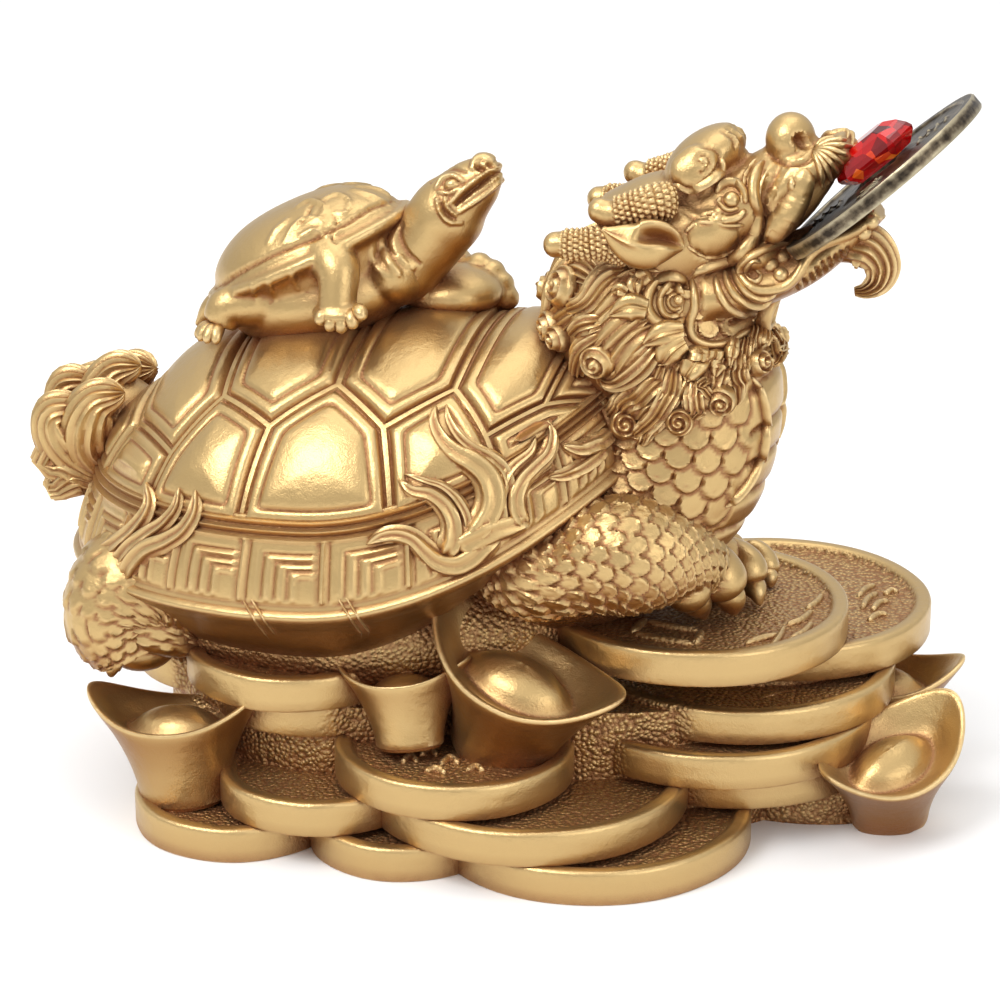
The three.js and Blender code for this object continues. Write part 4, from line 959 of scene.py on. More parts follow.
def crystal_glass(name):
    """Clear red cut crystal, with painted reflections of dark red and orange fire in its colour and a
    faint painted glow.
    """
    material, tree, shader = new_material(name)
    shader.inputs["Roughness"].default_value = 0.03
    shader.inputs["IOR"].default_value = 1.6
    shader.inputs["Transmission Weight"].default_value = 0.35
    # Painted glow: the crystal gives off a little light of its own colour, though it is no lamp.
    shader.inputs["Emission Strength"].default_value = 0.06
    place = add_node(tree, "ShaderNodeTexCoord").outputs["Object"]
    # Painted reflections: cells of near black, red and orange stand in for the light and shade on the
    # facets.
    painted_glints = add_node(tree, "ShaderNodeTexVoronoi", {"Vector": place, "Scale": 560})
    colour = ramp(tree, painted_glints.outputs["Color"], [
        (0.15, (0.10, 0.0, 0.002)), (0.40, (0.48, 0.002, 0.004)), (0.68, (0.76, 0.006, 0.005)),
        (0.85, (1.0, 0.26, 0.02))])
    tree.links.new(colour, shader.inputs["Base Color"])
    tree.links.new(colour, shader.inputs["Emission Color"])
    return material


# Body: trunk, scaly legs and feet
def scales(rows, count, depth, downwards=1):
    """Overlapping rounded scales in offset rows, their tips towards the end of the limb."""
    def relief(s, angle):
        v = (s if downwards > 0 else 1 - s) * rows
        u = angle / TURN * count
        best = np.zeros(np.broadcast_shapes(v.shape, u.shape))
        for back in (0, 1):
            k = np.floor(v) - back
            dv = v - k
            du = (u + 0.5 * (k % 2)) % 1.0 - 0.5
            r = np.sqrt((du / 0.53) ** 2 + (np.maximum(dv - 0.6, 0) / 0.9) ** 2)
            rise = (0.18 + 0.70 * dv / 1.5) * (1 - 0.4 * np.minimum(r, 1) ** 3.5)
            rise = rise + 0.22 * ridge(r - 0.80, 0.2) * step(0.4, 0.9, dv)
            best = np.maximum(best, rise * step(1.0, 0.92, r))
        return depth * best * step(-0.02, 0.04, s)
    return relief


# Legs, from the body to the foot
NEAR_FRONT_LEG = [
    (6, -11.4, 34.9), (12.3, -16.8, 35.8), (18.2, -14.8, 37.6), (23.3, -8.8, 36.6), (25.8, -4.8, 34.4),
    (26.4, -2.2, 31.8)]
FAR_FRONT_LEG = [
    (6, 12, 36.4), (12.0, 18.0, 38.0), (17.0, 18.6, 38.0), (20.6, 16.6, 36.0), (22.6, 14.0, 32.6),
    (23.4, 12.4, 29.8)]
HIND_LEG = [(-34, -13, 30), (-41.0, -17.0, 29.0), (-43.2, -18.5, 25.0), (-41.0, -18.5, 20.6)]


def toe(points, thick):
    """A knuckled toe through its first four points, and the hooked claw from there to the last."""
    fleshy, hooked = points[:4], points[3:]
    first = np.asarray(hooked[0], float)
    last = np.asarray(hooked[-1], float)
    middle = (first + last) / 2 + np.array([0, 0, 0.5])
    return [
        sweep(fleshy, [thick * 0.8, thick, thick * 1.12, thick * 0.8],
              [thick * 0.8, thick * 1.1, thick * 1.15, thick * 0.8], sides=24, steps=24, rounded=0.2),
        sweep([2 * first - middle, first, middle, last], [thick * 0.55, thick * 0.7, thick * 0.5, 0.25],
              [thick * 0.55, thick * 0.72, thick * 0.55, 0.25], sides=22, steps=20, rounded=0.08)]


def foot(at, heading, reach, thick=1.7):
    """A foot with smooth knuckled toes and short hooked claws."""
    x, y, z = at
    toes, drop = 4, 2.4
    parts = [lump(at, (4.4, 4.2, 3.0), sides=40, rows=24)]
    for i in range(toes):
        angle = heading + math.radians(32) * (i - (toes - 1) / 2)
        c, s = math.cos(angle), math.sin(angle)
        parts += toe([(x + reach * share * c, y + reach * share * s, z + lift) for share, lift in (
            (0.15, 0.6), (0.5, 0.9), (0.78, 0.2), (0.95, -0.9), (1.12, -drop))], thick)
    return parts


# Toes of the near front foot: knuckles and claws, drawn on the picture with their levels
NEAR_TOES = [
    ([(672, 566), (680, 580), (688, 590), (695, 601), (705, 619)], (33.0, 32.4, 31.4, 29.6, 26.2), 2.6),
    ([(706, 556), (716, 568), (722, 580), (728, 594), (735, 616)], (33.0, 32.2, 31.0, 29.0, 26.2), 2.8),
    ([(730, 550), (742, 560), (750, 572), (754, 586), (760, 606)], (31.2, 30.6, 29.6, 28.0, 26.2), 2.1),
    ([(742, 546), (757, 554), (766, 566), (769, 576), (771, 588)], (29.8, 29.0, 27.8, 27.0, 25.8), 1.6),
]
near_foot = [
    lump(on_level([(716, 560)], 30.4)[0], (4.2, 3.9, 3.2), sides=48, rows=30),
    lump(on_level([(732, 555)], 31.4)[0], (2.2, 1.6, 0.9), sides=28, rows=16),
    lump(on_level([(731, 545)], 32.2)[0], (2.1, 1.5, 0.9), sides=28, rows=16)]
for line, levels, thick in NEAR_TOES:
    near_foot += toe(on_level(line, levels), thick)

limb_shells = [
    sweep(path, thick, up=(0.2, side, 0.6), sides=sides, steps=steps, relief=scales(rows, count, depth))
    for path, thick, side, sides, steps, rows, count, depth in (
        (NEAR_FRONT_LEG, [5.6, 5.5, 5.4, 4.7, 5.9, 6.6, 6.6, 6.1, 5.3, 4.4, 3.4], -1, 168, 156,
         24, 17, 1.15),
        (FAR_FRONT_LEG, [7.2, 6.9, 6.5, 5.8, 4.9, 4.0], 1, 96, 96, 20, 15, 1.0))]
limb_shells += near_foot + foot((24.0, 11.6, 28.6), math.radians(24), 6.4)
limb_shells += both([
    sweep(HIND_LEG, [8.2, 7.9, 6.7, 4.8], up=(-0.6, -1, 0.2), sides=112, steps=76,
          relief=scales(12, 17, 0.8)),
    sweep([(-35, -12, 28), (-39.0, -15.0, 26.0), (-41.0, -16.5, 20.5)], [6.5, 7.6, 6.6],
          up=(-0.6, -1, 0.2), sides=96, steps=60, relief=scales(9, 17, 0.8), rounded=0.2)]
    + foot((-41.0, -17.0, 20.6), math.radians(200), 5.0, thick=1.5))
trunk_shells = [
    lump((-17, 0, 24), (31, 22, 12), sides=80, rows=40),
    lump((8, 0, 33), (16, 15, 10), sides=64, rows=40)]


# Neck: large scales at the sides and belly plates in front, between two thin ridges
NECK = [(8, 0, 36), (16.5, 0, 38.5), (22.8, 0, 45.5), (24.4, 0, 54), (22.5, 0, 62), (23.5, 0, 70)]


def neck_relief(s, angle):
    """Scales at the sides, and the belly plates in front."""
    front = np.clip(-np.sin(angle), 0, 1)
    belly = step(0.78, 0.84, front)
    plates = 0.9 * (1 - np.abs((s * 15 + 1.2 * (1 - front)) % 1.0 * 2 - 1) ** 5) - 0.1
    return (1 - belly) * scales(19, 20, 1.05, downwards=-1)(s, angle) + belly * plates


neck = sweep(NECK, [13, 12.4, 11.6, 11.0, 9.9, 8.8], [11, 11.0, 11.0, 11.0, 10.8, 7.8],
             up=(-1, 0, 0.2), sides=200, steps=160, relief=neck_relief)


# Head, drawn on a close-up of the picture: its corner, and how much larger it is
CLOSE_CORNER, CLOSE_SCALE = (520, 90), 3.92


def close_up(points):
    """Points of the close-up as points of the picture."""
    return [(CLOSE_CORNER[0] + x / CLOSE_SCALE, CLOSE_CORNER[1] + y / CLOSE_SCALE) for x, y in points]


skull = sweep(
    [(18, 0, 71), (24.5, 0, 74.8), (30.5, 0, 78.4), (36.2, 0, 81.8), (40.6, 0, 84.2), (43.4, 0, 86.0)],
    [8.6, 9.2, 8.2, 6.2, 5.0, 3.4], [8.3, 8.0, 5.9, 4.2, 3.0, 1.9], up=(-0.5, 0, 1), sides=64, steps=70)
throat = sweep(
    [(23, 0, 62), (26.5, 0, 67.5), (32.5, 0, 69.0), (38.6, 0, 71.4), (43.2, 0, 75.0), (47.0, 0, 78.6)],
    [9.1, 9.2, 8.2, 6.2, 4.3, 2.4], [5.8, 5.4, 3.4, 2.5, 1.9, 1.2], up=(-0.6, 0, 1), sides=56, steps=60)
cheek = lump((33.0, 0, 73.2), (3.4, 6.9, 3.4), pitch=math.radians(30), sides=48, rows=30)
tongue = sweep([(33, 0, 71.5), (38, 0, 74.0), (41.5, 0, 76.6)], [3.5, 3.4, 2.2], [2.0, 1.6, 0.8],
               up=(-0.6, 0, 1), sides=32, steps=24, rounded=0.2)
nose = lump(beside([(790.5, 139.0)], 0)[0], (2.95, 3.3, 3.2), sides=48, rows=32)
bridge = sweep([(26, 0, 79.4), (31, 0, 81.7), (35.5, 0, 84.0)], [3.5, 2.8, 3.0], [3, 2.0, 2.2],
               up=(-0.5, 0, 1), sides=32, steps=20)
forehead = lump(beside(close_up([(728, 268)]), 0)[0], (5.6, 5.6, 3.3), pitch=math.radians(38),
                sides=48, rows=30)
beard = sweep(
    beside(close_up([(1225, 640), (1300, 604), (1376, 622), (1418, 684), (1404, 750), (1355, 785),
                     (1312, 790)]), 0),
    [1.2, 2.5, 2.7, 2.3, 1.8, 1.1, 0.5], [1.0, 2.2, 2.45, 2.0, 1.5, 0.85, 0.3], up=(0, 1, 0.01),
    sides=80, steps=54, relief=lambda s, a: 0.26 * np.cos(13 * a + 1.5 * s) * step(0.05, 0.3, s))
MANE_AT, MANE_SIZE = (19.6, 0, 63.2), (12.0, 11.4, 12.2)
mane_core = lump(MANE_AT, MANE_SIZE, sides=80, rows=50)
lip = sweep(
    beside([(814, 160), (799, 180), (784, 199), (772, 217), (764, 234)], [-1.9, -2.5, -3.1, -3.7, -4.2]),
    [3.0, 3.6, 3.7, 3.3, 2.2], [1.3, 1.7, 1.9, 1.8, 1.3], up=(0, -1, 0.3), sides=48, steps=36)
brow = sweep(
    beside(close_up([(596, 362), (645, 330), (708, 292), (768, 256)]), [-6.2, -5.8, -5.0, -4.2]),
    [1.7, 2.4, 2.6, 1.8], [1.2, 1.7, 1.9, 1.6], up=(0, -1, 0.4), sides=40, steps=40, rounded=0.25)
head_parts = [skull, throat, cheek, tongue, nose, bridge, forehead] + both([lip, brow])

# Ridges: line, half-widths and heights in millimetres
HEAD_RIDGES = [
    # folds along the side of the snout
    ([(1062, 340), (1068, 384), (1039, 451), (996, 524), (957, 604)], [0.5, 0.75, 0.8, 0.7, 0.4],
     [0.7, 1.15, 1.2, 1.1, 0.6]),
    ([(1136, 319), (1125, 384), (1082, 463), (1035, 537), (1007, 597)], [0.5, 0.7, 0.75, 0.65, 0.4],
     [0.7, 1.1, 1.15, 1.1, 0.6]),
    # the long fold from the nose, round the eye to the cheek
    ([(958, 268), (925, 330), (914, 400), (928, 470), (922, 550), (892, 610), (850, 655), (780, 682),
      (705, 705), (672, 742)], [0.6, 0.75, 0.75, 0.8, 0.85, 0.9, 0.9, 0.85, 0.8, 0.7],
     [0.9, 1.2, 1.2, 1.2, 1.2, 1.3, 1.2, 1.1, 1.1, 0.9]),
    ([(928, 262), (890, 325), (873, 395), (868, 450)], [0.3, 0.42, 0.42, 0.3], [0.5, 0.75, 0.75, 0.5]),
    # the pouch of the cheek
    ([(672, 735), (682, 800), (684, 860), (662, 915), (672, 965), (720, 998), (780, 1000), (835, 982),
      (870, 952), (930, 945), (985, 925), (1022, 880), (1030, 822), (1008, 780)],
     [0.6, 0.6, 0.6, 0.65, 0.65, 0.65, 0.65, 0.65, 0.6, 0.6, 0.6, 0.6, 0.55, 0.5],
     [0.9, 1.0, 1.0, 1.1, 1.1, 1.1, 1.1, 1.1, 1.0, 1.0, 1.0, 1.0, 0.9, 0.7]),
    ([(765, 722), (776, 782), (816, 850), (880, 882), (955, 868)], [0.4, 0.55, 0.6, 0.55, 0.4],
     [0.7, 0.95, 1.0, 0.95, 0.7]),
    ([(800, 702), (815, 762), (860, 820), (930, 846), (992, 826)], [0.4, 0.55, 0.6, 0.55, 0.4],
     [0.7, 1.0, 1.1, 1.0, 0.7]),
    ([(835, 688), (850, 745), (892, 798), (950, 815), (1012, 795)], [0.4, 0.5, 0.55, 0.5, 0.4],
     [0.7, 1.0, 1.1, 1.0, 0.7]),
    # the lips, round the corner of the mouth
    ([(1062, 596), (990, 612), (930, 638), (885, 664), (862, 702), (875, 752), (922, 786), (985, 784),
      (1050, 764), (1096, 714), (1132, 655), (1190, 612), (1262, 580), (1340, 540), (1398, 478)],
     [0.5, 0.55, 0.6, 0.65, 0.7, 0.7, 0.7, 0.7, 0.7, 0.7, 0.65, 0.65, 0.65, 0.65, 0.5],
     [0.8, 1.0, 1.1, 1.2, 1.2, 1.2, 1.2, 1.2, 1.2, 1.1, 1.1, 1.1, 1.0, 1.0, 0.7]),
    # the smooth side of the upper lip
    ([(1125, 305), (1085, 395), (1045, 478), (1010, 552), (978, 606)], [1.1, 1.8, 2.0, 1.7, 0.8],
     [0.8, 1.3, 1.4, 1.3, 0.8]),
    ([(976, 300), (942, 380), (934, 465), (946, 538)], [0.25, 0.3, 0.3, 0.25], [0.4, 0.6, 0.6, 0.4]),
    # cheekbone, and the edge over it
    ([(648, 590), (715, 575), (790, 582), (868, 570)], [1.0, 2.3, 2.4, 1.0], [0.4, 0.95, 0.95, 0.4]),
    ([(650, 610), (705, 640), (780, 646), (850, 625)], [0.3, 0.4, 0.4, 0.3], [0.5, 0.8, 0.8, 0.5]),
    ([(640, 560), (700, 520), (785, 528), (885, 530)], [0.35, 0.45, 0.45, 0.3], [0.7, 1.0, 1.0, 0.6]),
    # lids of the eye
    ([(766, 408), (792, 374), (842, 366), (880, 400), (884, 450)], [0.4, 0.6, 0.65, 0.55, 0.4],
     [0.7, 1.2, 1.3, 1.1, 0.7]),
    ([(744, 486), (800, 508), (858, 496), (886, 466)], [0.4, 0.6, 0.6, 0.4], [0.6, 1.0, 1.0, 0.7]),
    ([(788, 412), (783, 444), (815, 470), (862, 462)], [0.25, 0.35, 0.35, 0.25], [0.6, 0.9, 0.9, 0.6]),
    # curl below the ear
    ([(664, 768), (612, 728), (550, 738), (508, 785), (497, 850), (532, 905), (595, 926), (650, 890)],
     [0.5, 0.75, 0.8, 0.8, 0.8, 0.8, 0.8, 0.6], [0.9, 1.3, 1.4, 1.4, 1.4, 1.4, 1.3, 1.0]),
    ([(648, 802), (602, 766), (562, 786), (548, 840), (575, 886), (632, 880)],
     [0.35, 0.5, 0.5, 0.5, 0.5, 0.4], [0.7, 1.1, 1.1, 1.1, 1.1, 0.8]),
    ([(640, 850), (600, 860), (580, 835), (590, 805), (620, 800)], [0.3, 0.35, 0.35, 0.3, 0.3],
     [0.6, 0.9, 0.9, 0.9, 0.8]),
    # curl at the corner of the mouth
    ([(950, 680), (915, 668), (886, 700), (890, 740), (925, 755), (945, 728), (925, 705)],
     [0.35, 0.4, 0.45, 0.45, 0.4, 0.35, 0.3], [0.7, 0.9, 0.9, 0.9, 0.9, 0.8, 0.7]),
]
# Beads: centre in the close-up, radius, and how far it is sunk
HEAD_KNOBS = [
    ((828, 428), 1.05, 0.35), ((622, 822), 0.6, -0.2), ((985, 690), 1.0, 0.3), ((1028, 660), 1.1, 0.3),
    ((1022, 722), 1.0, 0.3), ((1378, 520), 0.9, 0.2), ((1350, 565), 1.0, 0.3), ((1070, 622), 0.8, 0.2),
]
# Strands of the upper lip, from their root to each tip
TUFT = [(1238, 182), (1285, 192), (1312, 222), (1290, 255), (1272, 292), (1252, 330), (1222, 362),
        (1188, 392)]
# Leaves by the ear and under the cheek: from the root to the tip
LEAVES = [
    ([(512, 705), (470, 728), (432, 722)], [0.8, 1.1, 0.2]),
    ([(470, 745), (455, 775), (462, 812)], [0.7, 1.0, 0.2]),
    ([(505, 862), (440, 850), (360, 884)], [1.0, 1.5, 0.2]),
    ([(430, 805), (400, 790), (368, 800)], [0.7, 0.9, 0.2]),
    ([(635, 935), (560, 950), (482, 992)], [0.9, 1.4, 0.2]),
    ([(640, 975), (582, 1012), (545, 1088)], [1.1, 1.5, 0.2]),
    ([(692, 1015), (682, 1075), (652, 1148)], [1.1, 1.5, 0.2]),
    ([(770, 1030), (766, 1080), (760, 1130)], [0.8, 1.0, 0.2]),
    ([(830, 1000), (818, 1040), (812, 1080)], [0.6, 0.8, 0.2]),
]
# Grooves and pits: line, half-widths, depths
HEAD_GROOVES = [
    ([(1010, 300), (966, 390), (950, 470), (952, 540), (930, 606)], [0.7, 0.9, 0.9, 0.9, 0.6],
     [-0.6, -1.1, -1.1, -1.1, -0.6]),
    ([(640, 420), (690, 440), (748, 440)], [1.4, 2.0, 1.2], [-0.5, -0.9, -0.5]),
    ([(700, 745), (708, 830), (704, 895), (694, 935), (735, 966), (792, 966), (842, 930), (905, 906),
      (965, 890)], [0.3, 0.35, 0.35, 0.35, 0.35, 0.35, 0.35, 0.35, 0.3],
     [-0.2, -0.35, -0.35, -0.35, -0.35, -0.35, -0.35, -0.35, -0.2]),
    ([(1098, 195), (1106, 206)], [0.95, 0.95], [-1.5, -1.5]),
    ([(970, 250), (1010, 275), (1060, 290), (1120, 280), (1160, 230)], [0.3, 0.4, 0.4, 0.4, 0.3],
     [-0.3, -0.6, -0.6, -0.6, -0.3]),
    ([(672, 330), (715, 322), (748, 292), (740, 258), (705, 255), (700, 285), (722, 290)],
     [0.25, 0.3, 0.3, 0.3, 0.3, 0.25, 0.25], [-0.2, -0.35, -0.4, -0.4, -0.4, -0.35, -0.2]),
    ([(720, 225), (760, 232), (782, 262), (770, 310), (725, 350)], [0.2, 0.25, 0.25, 0.25, 0.2],
     [-0.15, -0.3, -0.3, -0.3, -0.15]),
    # folds down the side of the snout
    ([(1040, 295), (1006, 370), (980, 450), (970, 540)], [0.35, 0.45, 0.45, 0.35],
     [-0.3, -0.5, -0.5, -0.3]),
    ([(1112, 330), (1076, 396), (1034, 466), (996, 540)], [0.3, 0.45, 0.45, 0.3],
     [-0.3, -0.5, -0.5, -0.3]),
    # wrinkles at the front of the forehead
    ([(822, 148), (858, 172), (876, 214), (868, 250)], [0.4, 0.45, 0.45, 0.35],
     [-0.4, -0.6, -0.6, -0.3]),
    ([(842, 140), (880, 162), (898, 200)], [0.35, 0.42, 0.35], [-0.35, -0.55, -0.35]),
    ([(800, 160), (838, 190), (846, 230)], [0.35, 0.4, 0.3], [-0.3, -0.45, -0.3]),
    ([(900, 300), (868, 350), (850, 372)], [0.25, 0.35, 0.25], [-0.3, -0.5, -0.3]),
    # furrows beside the eye, and behind it
    ([(700, 470), (742, 500), (800, 520)], [0.3, 0.4, 0.3], [-0.3, -0.6, -0.3]),
    ([(640, 470), (680, 500), (700, 540)], [0.5, 0.6, 0.4], [-0.4, -0.6, -0.3]),
    ([(660, 400), (700, 412), (745, 405)], [0.4, 0.5, 0.3], [-0.4, -0.6, -0.3]),
    ([(690, 640), (760, 662), (840, 640)], [0.3, 0.4, 0.3], [-0.3, -0.5, -0.3]),
]
for x, y in ((1086, 770), (1112, 744), (1138, 718), (1162, 694), (1186, 676), (1210, 660), (1234, 646),
             (1258, 632), (1284, 618)):
    HEAD_GROOVES.append(([(x, y), (x + 10, y + 26), (x + 12, y + 56)], [0.24, 0.3, 0.2],
                         [-0.5, -0.8, -0.3]))
head_base = melted(head_parts, 0.37, 1, carved(
    [(close_up(line), width, height) for line, width, height in HEAD_GROOVES]))
head_tree = tree_of([head_base, mane_core, neck])


def knob(tree, at, radius, sink):
    """A round bead on the surface, drawn at a point of the picture and sunk into it."""
    points, normals = traced(tree, [at, (at[0] + 1, at[1])], 4)
    centre = points[0] - normals[0] * sink
    return lump(centre, (radius, radius, radius), sides=20, rows=14)


def leaf_relief(s, angle):
    """Hollow along the middle of the outer face, with a fine rib."""
    outer = step(0.2, 0.8, np.sin(angle))
    return outer * (-0.45 * ridge(np.cos(angle), 0.75) + 0.3 * ridge(np.cos(angle), 0.2))


def ear_relief(s, angle):
    """A hollow under the upper fold of the ear, and a rib along its middle."""
    outer = step(0.1, 0.7, np.sin(angle))
    hollow = -1.9 * ridge(np.cos(angle) - 0.30, 0.48) * ridge(s - 0.32, 0.34)
    fold = 0.45 * ridge(np.cos(angle) - 0.85, 0.25) * ridge(s - 0.35, 0.5)
    rib = 0.35 * ridge(np.cos(angle) - 0.02, 0.22) * step(0.2, 0.6, s)
    return outer * (hollow + fold + rib)


def beads(count, rows, depth, last):
    """Rows of beads round a horn up to a share of its length."""
    def relief(s, angle):
        pattern = np.abs(np.sin(count * angle / 2 + 0.5 * math.pi * (np.floor(s * rows) % 2)))
        lengthwise = np.abs(np.sin(math.pi * s * rows))
        return depth * (pattern * lengthwise) ** 0.7 * step(last, last - 0.06, s)
    return relief


head_near = [laid(head_tree, close_up(line), width, height, sink=0.35, sides=12, steps=54)
             for line, width, height in HEAD_RIDGES]
head_near += [knob(head_tree, close_up([at])[0], radius, sink) for at, radius, sink in HEAD_KNOBS]
head_near += [laid(head_tree, close_up([(1148, 238), ((1148 + x) / 2 + 8, (238 + y) / 2 - 10), (x, y)]),
                   [0.35, 0.5, 0.25], [0.7, 1.0, 0.5], sink=0.3, sides=16, steps=30) for x, y in TUFT]
# Fold below the brow
head_near.append(laid(
    head_tree, close_up([(598, 366), (660, 386), (725, 366), (786, 312), (796, 262)]),
    [0.4, 0.5, 0.55, 0.55, 0.4], [0.8, 1.2, 1.3, 1.3, 0.9], sides=16, steps=50))
# Horns: beaded, with smooth tips
head_near.append(sweep(
    beside(close_up([(612, 432), (530, 440), (440, 466), (350, 484), (270, 448)]),
           [-7.0, -8.4, -9.0, -9.3, -9.4]), [1.9, 2.0, 1.8, 1.65, 1.3], up=(0, -0.7, 1), sides=64,
    steps=68, relief=beads(16, 16, 0.42, 0.72), rounded=0.12))
head_near.append(sweep(
    beside(close_up([(450, 640), (340, 602), (240, 606), (150, 606), (92, 608)]),
           [-8.5, -10.2, -10.8, -11.0, -11.0]), [1.7, 1.85, 1.7, 1.6, 1.45], up=(0, -0.7, 1), sides=64,
    steps=68, relief=beads(16, 18, 0.42, 0.82), rounded=0.12))
head_near.append(sweep(
    beside(close_up([(628, 612), (545, 600), (455, 604), (385, 578), (322, 545)]),
           [-9.0, -11.0, -11.9, -12.2, -12.6]), [0.7, 2.5, 2.9, 1.9, 0.2], [0.8, 1.5, 1.5, 0.9, 0.2],
    up=(0, -1, 0.2), sides=64, steps=56, relief=ear_relief))
head_shells = [head_base, beard] + both(head_near)


# Mane: grooved locks that flow down and end in curls, drawn on the same close-up: line and
# half-widths, then the curl's centre, radius and which way it winds
LOCKS = [
    ([(425, 690), (335, 748), (262, 838), (190, 866)], [1.2, 2.0, 1.7, 0.9], (178, 775), 76, 1),
    ([(330, 900), (250, 920), (215, 960)], [1.0, 1.5, 0.8], (165, 968), 50, 1),
    ([(150, 900), (105, 915), (70, 940)], [0.6, 1.0, 0.7], (88, 980), 46, 1),
    ([(330, 960), (250, 1030), (232, 1110)], [1.0, 1.7, 0.9], (165, 1128), 68, 1),
    ([(545, 1000), (470, 1088), (380, 1140), (318, 1126)], [1.2, 2.0, 1.7, 0.8], (310, 1058), 64, 1),
    ([(560, 1060), (500, 1160), (400, 1235), (350, 1275)], [1.2, 2.0, 1.7, 0.8], (316, 1236), 48, 1),
    ([(604, 1085), (585, 1190), (525, 1295), (450, 1362)], [1.0, 1.5, 1.3, 0.8], (414, 1310), 54, 1),
    ([(690, 1130), (690, 1210), (678, 1290)], [1.0, 1.5, 0.8], (626, 1300), 48, 1),
    ([(735, 1130), (712, 1160), (730, 1215)], [0.6, 0.9, 0.6], (786, 1212), 56, -1),
    ([(985, 950), (1006, 1010), (976, 1080)], [0.8, 1.0, 0.6], (925, 1072), 48, 1),
]
# Broad bundles under the locks
BUNDLES = [
    ([(560, 720), (440, 760), (330, 850), (250, 960)], [1.6, 2.8, 2.8, 1.6]),
    ([(520, 830), (420, 880), (330, 960), (260, 1060)], [1.6, 2.8, 2.8, 1.6]),
    ([(560, 930), (470, 990), (400, 1080), (330, 1180)], [1.6, 2.8, 2.8, 1.6]),
    ([(640, 1010), (560, 1100), (490, 1200), (430, 1290)], [1.6, 2.8, 2.8, 1.6]),
    ([(700, 1060), (650, 1150), (600, 1240), (560, 1330)], [1.4, 2.4, 2.4, 1.2]),
    ([(780, 1030), (760, 1110), (745, 1190)], [1.2, 2.0, 1.0]),
    ([(960, 940), (930, 1000), (905, 1060)], [1.2, 1.8, 1.0]),
    ([(300, 740), (220, 700), (150, 740), (110, 820)], [1.2, 2.0, 2.0, 1.2]),
    ([(260, 830), (170, 880), (110, 960), (90, 1060)], [1.4, 2.2, 2.2, 1.2]),
    ([(860, 985), (836, 1060), (850, 1150), (850, 1240)], [1.0, 1.5, 1.3, 0.5]),
    ([(905, 975), (880, 1040), (878, 1110)], [0.8, 1.1, 0.6]),
    ([(560, 1230), (520, 1310), (470, 1390)], [0.8, 1.1, 0.5]),
]


def strands(depth):
    """Twelve hair strands along a lock, with their depth in millimetres."""
    def relief(s, angle):
        return depth * np.cos(angle * 12 + 0.5 * np.sin(4 * s))
    return relief


def curl(tree, centre, radius, start, turn):
    """A curl at the end of a lock, drawn on the close-up."""
    points, normals = traced(tree, close_up([centre, (centre[0] + 1, centre[1])]), 4)
    return snail(points[0], normals[0], radius / CLOSE_SCALE / PIXELS_PER_MM * 1.12, start, turn)


def snail(middle, out, radius, start, turn):
    """A rounded curl of hair, wound in a spiral of strands."""
    across = unit(np.cross(out, [0.13, 0.21, 1.0]))
    rise = np.cross(out, across)
    t = np.linspace(0.02, 1, 15)[:, None]
    angle = circle(44)[None, :]
    dome = 0.3 + 1.5 * np.sqrt(np.maximum(1 - t ** 2.4, 0))
    wound = 0.34 * np.cos(turn * (angle - start) + TURN * 2.6 * t) * ridge(t - 0.55, 0.62)
    high = dome + wound + 0.5 * ridge(t, 0.3)
    flat = (across * (t * radius * np.cos(angle))[..., None]
            + rise * (t * radius * np.sin(angle))[..., None])
    top = middle + flat + out * high[..., None]
    foot = middle + flat[-1:] * 0.9 - out * 0.9
    return tube(np.concatenate([top, foot]))


def on_mane(azimuth, elevation, proud):
    """A point of the mane's core, or above it by proud."""
    a, e = math.radians(azimuth), math.radians(elevation)
    long, wide, tall = [half + proud for half in MANE_SIZE]
    return np.array([
        MANE_AT[0] + long * math.cos(e) * math.cos(a), wide * math.cos(e) * math.sin(a),
        MANE_AT[2] + tall * math.sin(e)])


def back_lock(azimuth, top, bottom, wide):
    """A lock down the back of the mane with a curl at its end."""
    path = [on_mane(azimuth, e, 0.1) for e in np.linspace(top, bottom, 5)]
    out = on_mane(azimuth, (top + bottom) / 2, 1) - on_mane(azimuth, (top + bottom) / 2, 0)
    lock = sweep(path, [wide * 0.6, wide, wide, wide * 0.6], [0.8, 1.2, 1.2, 1.0], up=out, sides=48,
                 steps=30, relief=strands(0.22))
    middle = on_mane(azimuth + 8, bottom - 3, 0)
    out = unit(on_mane(azimuth + 8, bottom - 3, 1) - middle)
    return [lock, snail(middle, out, 2.2, 0.0, 1)]


# Locks at the back: azimuth, elevations of their top and bottom, and half-width
back = []
for azimuth, top, bottom, wide in (
        (180, 60, 18, 2.6), (157, 55, 8, 2.4), (203, 50, 2, 2.4), (180, 8, -24, 2.4),
        (160, -8, -36, 2.2), (200, -12, -40, 2.2)):
    back += back_lock(azimuth, top, bottom, wide)
mane_tree = tree_of([mane_core, neck, skull, throat])
mane_near = []
for line, width in BUNDLES:
    mane_near.append(laid(mane_tree, close_up(line), width, [0.6, 0.9, 0.9, 0.6][:len(line)], sink=0.2,
                          sides=56, steps=30, relief=strands(0.24)))
for line, width, centre, radius, turn in LOCKS:
    x, y = line[-1]
    start = math.atan2(y - centre[1], x - centre[0])
    mane_near.append(laid(mane_tree, close_up(line), width, [0.9, 1.5, 1.5, 1.3][:len(line)], sink=0.2,
                          sides=52, steps=34, relief=strands(0.24)))
    mane_near.append(curl(mane_tree, centre, radius, start, turn))
for line, width in LEAVES:
    mane_near.append(laid(mane_tree, close_up(line), [1.12 * w for w in width], [1.0, 1.3, 0.4],
                          sink=-0.7, sides=28, steps=24, relief=leaf_relief, rounded=0.05))
mane_shells = [mane_core] + back + both(mane_near)


